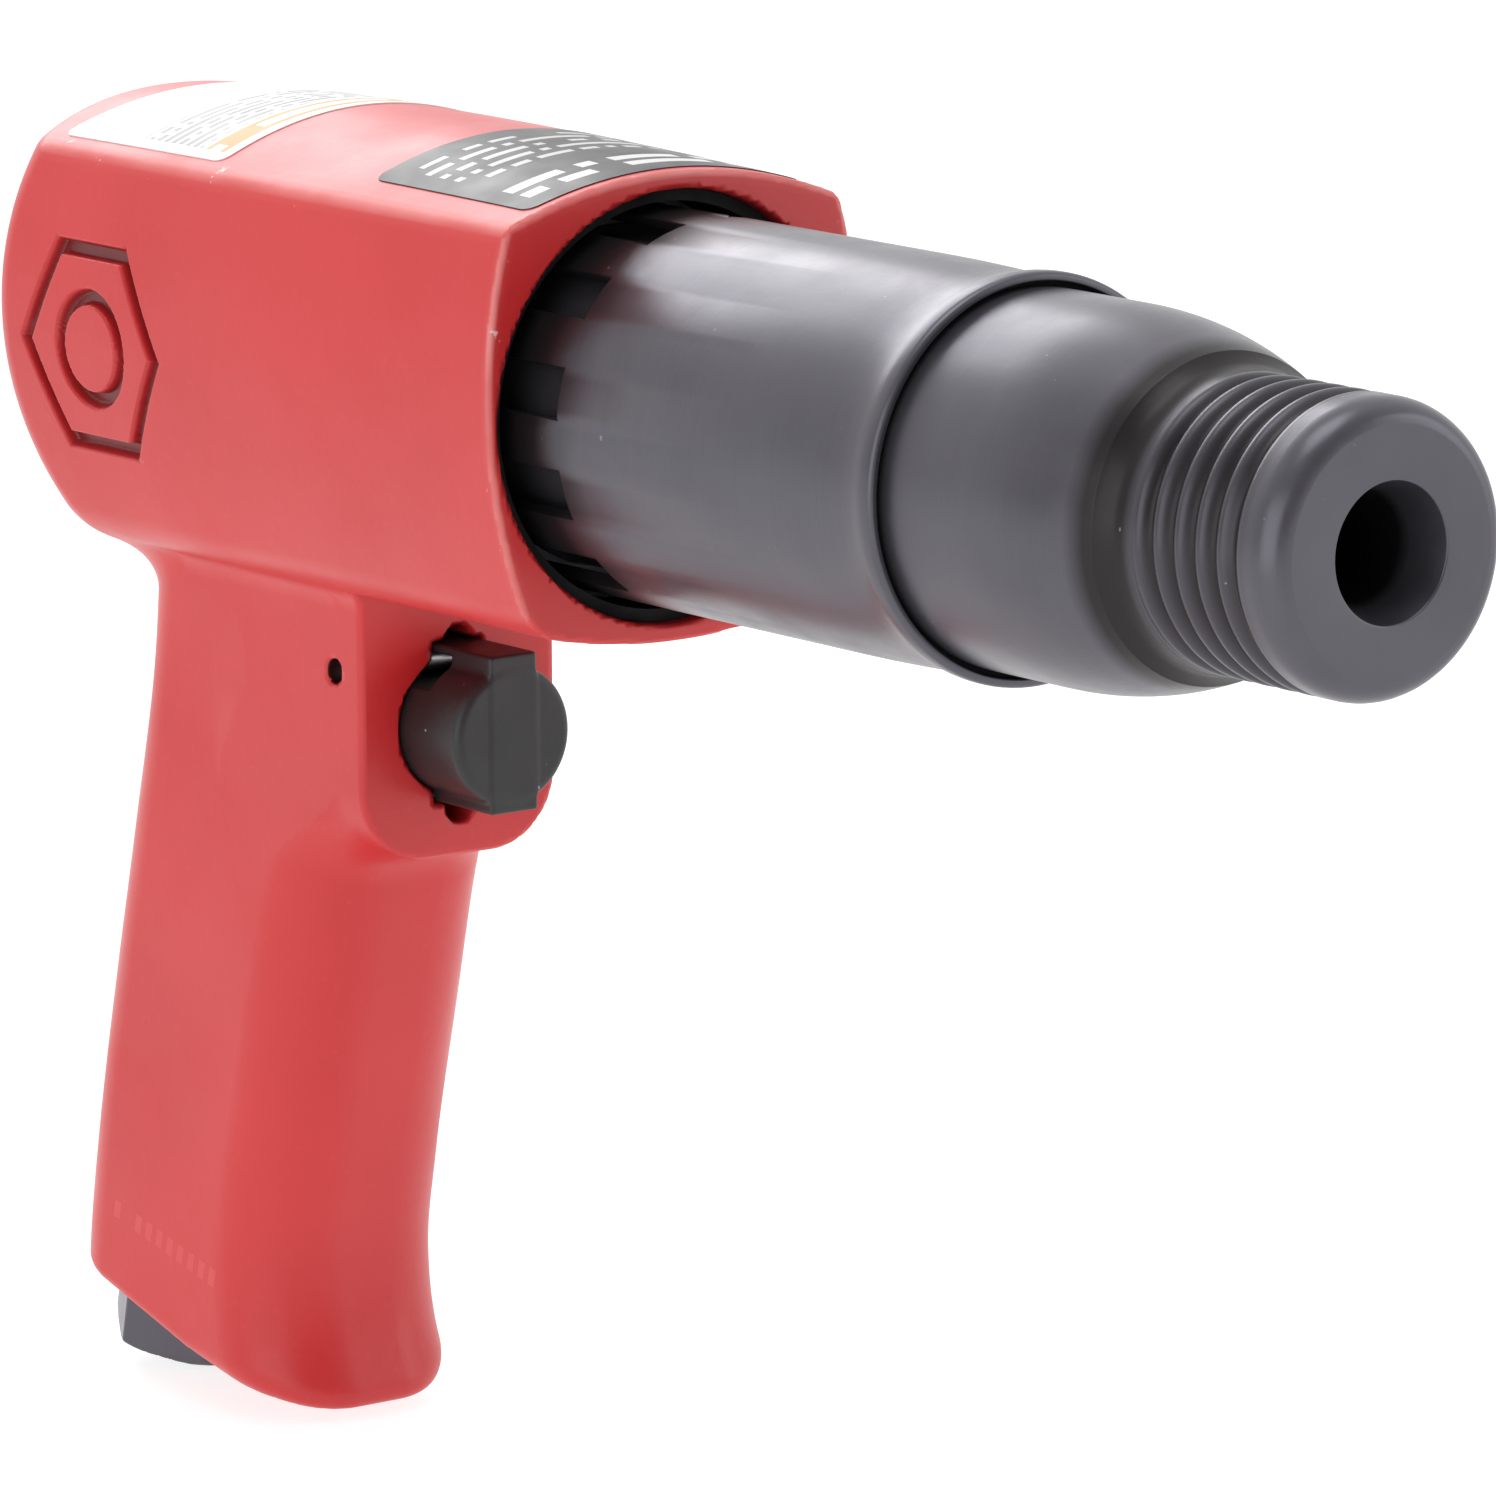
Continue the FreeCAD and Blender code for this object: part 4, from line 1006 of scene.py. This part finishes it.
def sleeve_outlines():
    """Outline of the plain part, and the corners behind it that the notches take away."""
    lip = [(SLEEVE_FRONT, SLEEVE_BORE_R, 0.2), (SLEEVE_FRONT, SLEEVE_LIP_R - 0.35, 0),
           (SLEEVE_FRONT - 0.35, SLEEVE_LIP_R - 0.06, 0), (SLEEVE_FRONT - 0.8, SLEEVE_LIP_R, 0),
           (SLEEVE_FRONT - 1.7, SLEEVE_LIP_R, 0), (SLEEVE_FRONT - 2.3, SLEEVE_LIP_R - 0.06, 0),
           (SLEEVE_FRONT - 3.1, SLEEVE_LIP_R - 0.26, 0), (SLEEVE_FRONT - 4.2, SLEEVE_LIP_R - 0.44, 0),
           (SLEEVE_FRONT - 6.0, SLEEVE_LIP_R - 0.58, 0), (SLEEVE_FRONT - 8.5, SLEEVE_LIP_R - 0.60, 0),
           (SLEEVE_FRONT - 12.0, SLEEVE_R - 0.14, 0), (SLEEVE_FRONT - 17.0, SLEEVE_R - 0.03, 0),
           (SLEEVE_FRONT - 22.0, SLEEVE_R, 0)]
    inner = [(NOTCH_FRONT, SLEEVE_REAR_BORE_R), (SEAT_REAR, SLEEVE_REAR_BORE_R), (SEAT_REAR, SEAT_R),
             (SEAT_FRONT, SEAT_R), (SEAT_FRONT, SLEEVE_BORE_R)]
    outer = soften(lip)
    outer.append((NOTCH_FRONT, SLEEVE_R))
    return outer, [(SLEEVE_REAR, SLEEVE_R), (SLEEVE_REAR, SLEEVE_REAR_BORE_R)], inner


def sleeve_piece():
    """Thin steel sleeve with a rolled lip in front and square notches behind."""
    outer, tail, inner = sleeve_outlines()
    outline = outer + tail + inner
    last_outer, first_inner = len(outer) - 1, len(outer) + 2
    n = len(outline)
    stations = []
    pitch = 360 / NOTCHES
    for index in range(NOTCHES):
        start = NOTCH_PHASE - NOTCH_ANGLE / 2 + pitch * index
        stations += [(start + NOTCH_ANGLE * k / NOTCH_STEPS, True) for k in range(NOTCH_STEPS)]
        stations += [(start + NOTCH_ANGLE + (pitch - NOTCH_ANGLE) * k / NOTCH_STEPS, False)
                     for k in range(NOTCH_STEPS)]
    points, faces = [], []
    for degrees, _ in stations:
        a = math.radians(degrees)
        points += [(x, r * math.cos(a), r * math.sin(a)) for x, r in outline]
    for i, (_, open_here) in enumerate(stations):
        a, b = i * n, (i + 1) % len(stations) * n
        for j in range(n):
            if open_here and last_outer <= j < first_inner:
                continue
            k = (j + 1) % n
            faces.append((a + j, a + k, b + k, b + j))
        if open_here:
            faces.append((a + last_outer, a + first_inner, b + first_inner, b + last_outer))
        if open_here != stations[i - 1][1]:
            faces.append(tuple(a + j for j in range(last_outer, first_inner + 1)))
    obj = new_object("sleeve_shell", points, faces)
    bevel = obj.modifiers.new("edges", "BEVEL")
    bevel.width = 0.18 * MM
    bevel.segments = 2
    bevel.limit_method = "ANGLE"
    bevel.angle_limit = math.radians(50)
    apply_modifiers(obj)
    return finish_piece(obj, SLEEVE_STEEL, "exhaust_sleeve")


# ---------------------------------------------------------------- trigger button
BUTTON_FACE = -156.0
BUTTON_REAR = -182.0
BUTTON_R = 8.25
FIN_HALF_WIDTH = 3.3
FIN_TOP = 9.7
FIN_BOTTOM = 9.0
FIN_REAR = -176.0
PIN_WINDOW = (-174.35, -163.85, 1.85)


def button_distance(x, y, z):
    """Round plastic button with a key fin above and below, and a window for its pin."""
    up = z - TRIGGER_Z
    disc = np.hypot(y, up) - BUTTON_R
    key_middle = (FIN_TOP - FIN_BOTTOM) / 2
    key = round_max(np.abs(y) - FIN_HALF_WIDTH, np.abs(up - key_middle) - (FIN_TOP + FIN_BOTTOM) / 2, 0.3)
    rounded = round_max(round_max(disc, x - BUTTON_FACE, 1.15), BUTTON_REAR - x, 0.5)
    fins = round_max(round_max(key, x - BUTTON_FACE, 0.25), FIN_REAR - x, 0.3)
    shape = round_min(rounded, fins, 0.5)
    window = np.maximum(np.abs(x - (PIN_WINDOW[0] + PIN_WINDOW[1]) / 2) - (PIN_WINDOW[1] - PIN_WINDOW[0]) / 2,
                        np.abs(z - PIN_Z) - PIN_WINDOW[2])
    return round_max(shape, -window, 0.15)


def button_piece():
    """Trigger button, meshed from its distance."""
    low = (BUTTON_REAR - 1, -BUTTON_R - 1, TRIGGER_Z - FIN_BOTTOM - 1)
    high = (BUTTON_FACE + 1, BUTTON_R + 1, TRIGGER_Z + FIN_TOP + 1)
    points, quads = grid_surface(button_distance, low, high, 0.27)
    points = settle(button_distance, points)
    obj = new_object("trigger_cap", points, quads)
    return finish_piece(obj, PLASTIC, "trigger_button", "trigger", sharp=180)


# ---------------------------------------------------------------- inlet bushing
INLET_FLATS = 19.05
INLET_HEX_LENGTH = 9.5
INLET_SPIGOT_R = 8.5
INLET_SPIGOT_END = 25.5
INLET_HOLE_R = 5.7
INLET_HOLE_DEPTH = 15.0
INLET_NARROW_R = 4.8
INLET_THREAD_PITCH = 1.41


def inlet_distance(x, y, z):
    """Chamfered hexagon on a round spigot, with a threaded hole."""
    along, across, away = inlet_local(x, y, z)
    hexagon = -np.inf
    for turn in range(3):
        a = math.radians(60 * turn + 60)
        flat = np.abs(across * math.cos(a) + y * math.sin(a)) - INLET_FLATS / 2
        hexagon = flat if turn == 0 else round_max(hexagon, flat, 0.3)
    crown = (away - INLET_FLATS / 2 - 0.3) * 0.5 - along * 0.866
    crown_top = (away - INLET_FLATS / 2 - 0.3) * 0.5 - (INLET_HEX_LENGTH - along) * 0.866
    nut = round_max(hexagon, round_max(crown, crown_top, 0.1), 0.25)
    nut = round_max(nut, np.maximum(-along, along - INLET_HEX_LENGTH), 0.25)
    spigot = np.maximum(away - INLET_SPIGOT_R, np.maximum(-along + 2, along - INLET_SPIGOT_END))
    angle = np.arctan2(y, across)
    wave = 0.42 * np.cos(2 * math.pi * (along / INLET_THREAD_PITCH + angle / (2 * math.pi)))
    thread = np.where(along > 1.6, wave, 0.3)
    hole = np.maximum((away - INLET_HOLE_R + 0.2 - thread) * 0.7, along - INLET_HOLE_DEPTH)
    mouth = (away - INLET_HOLE_R - 1.3) * 0.707 + along * 0.707
    hole = np.minimum(hole, np.minimum(mouth, away - INLET_NARROW_R))
    return round_max(np.minimum(nut, spigot), -hole, 0.15)


def inlet_piece():
    """Hexagonal inlet bushing, meshed from its distance."""
    low = [c / MM - 1 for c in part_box("inlet_bushing")[0]]
    high = [c / MM + 1 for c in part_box("inlet_bushing")[1]]
    points, quads = grid_surface(inlet_distance, low, high, 0.3)
    points = settle(inlet_distance, points, 4)
    obj = new_object("inlet_hexagon", points, quads)
    return finish_piece(obj, INLET_STEEL, "inlet_bushing", sharp=180)


# ---------------------------------------------------------------- labels
LABEL_THICKNESS = 0.14
LABEL_CORNER_R = 1.6


def label_piece(name, node, material):
    """Thin sticker that follows the crowned top, with rounded corners."""
    low, high = ([c / MM for c in corner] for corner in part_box(node))
    rear, front, half = low[0], high[0], high[1]
    rows, columns = 24, 56
    points, faces = [], []
    for lift in (0.012, LABEL_THICKNESS):
        for j in range(columns + 1):
            y = -half + 2 * half * (0.5 - 0.5 * math.cos(math.pi * j / columns))
            past = max(0.0, abs(y) - half + LABEL_CORNER_R)
            inset = LABEL_CORNER_R - math.sqrt(max(0.0, LABEL_CORNER_R ** 2 - past ** 2))
            for i in range(rows + 1):
                x = rear + inset + (front - rear - 2 * inset) * i / rows
                points.append((x, y, top_height(x, y) + lift))
    width = rows + 1
    sheet = width * (columns + 1)
    for j in range(columns):
        for i in range(rows):
            a = j * width + i
            faces.append((a, a + width, a + width + 1, a + 1))
            faces.append((sheet + a, sheet + a + 1, sheet + a + width + 1, sheet + a + width))
    rim = list(range(width)) + [j * width + rows for j in range(1, columns + 1)]
    rim += [columns * width + i for i in range(rows - 1, -1, -1)]
    rim += [j * width for j in range(columns - 1, 0, -1)]
    for a, b in zip(rim, rim[1:] + rim[:1]):
        faces.append((a, b, sheet + b, sheet + a))
    obj = new_object(name, points, faces)
    return finish_piece(obj, material, node)


# ---------------------------------------------------------------- everything together
LOOKS = {"red_paint": RED, "black_steel": BLACK_STEEL, "bright_steel": STEEL, "black_plastic": PLASTIC,
         "black_rubber": RUBBER, "brass": BRASS, "label_vinyl": WARNING, "plate_vinyl": PLATE}
for part in frame["record"]["subparts"]:
    for slot in frame["nodes"][part["node"]].material_slots:
        slot.material = LOOKS[part["material_slot"]]

housing_piece()
barrel_piece()
sleeve_piece()
button_piece()
inlet_piece()
label_piece("warning_sticker", "warning_label", WARNING)
label_piece("rating_sticker", "rating_plate", PLATE)
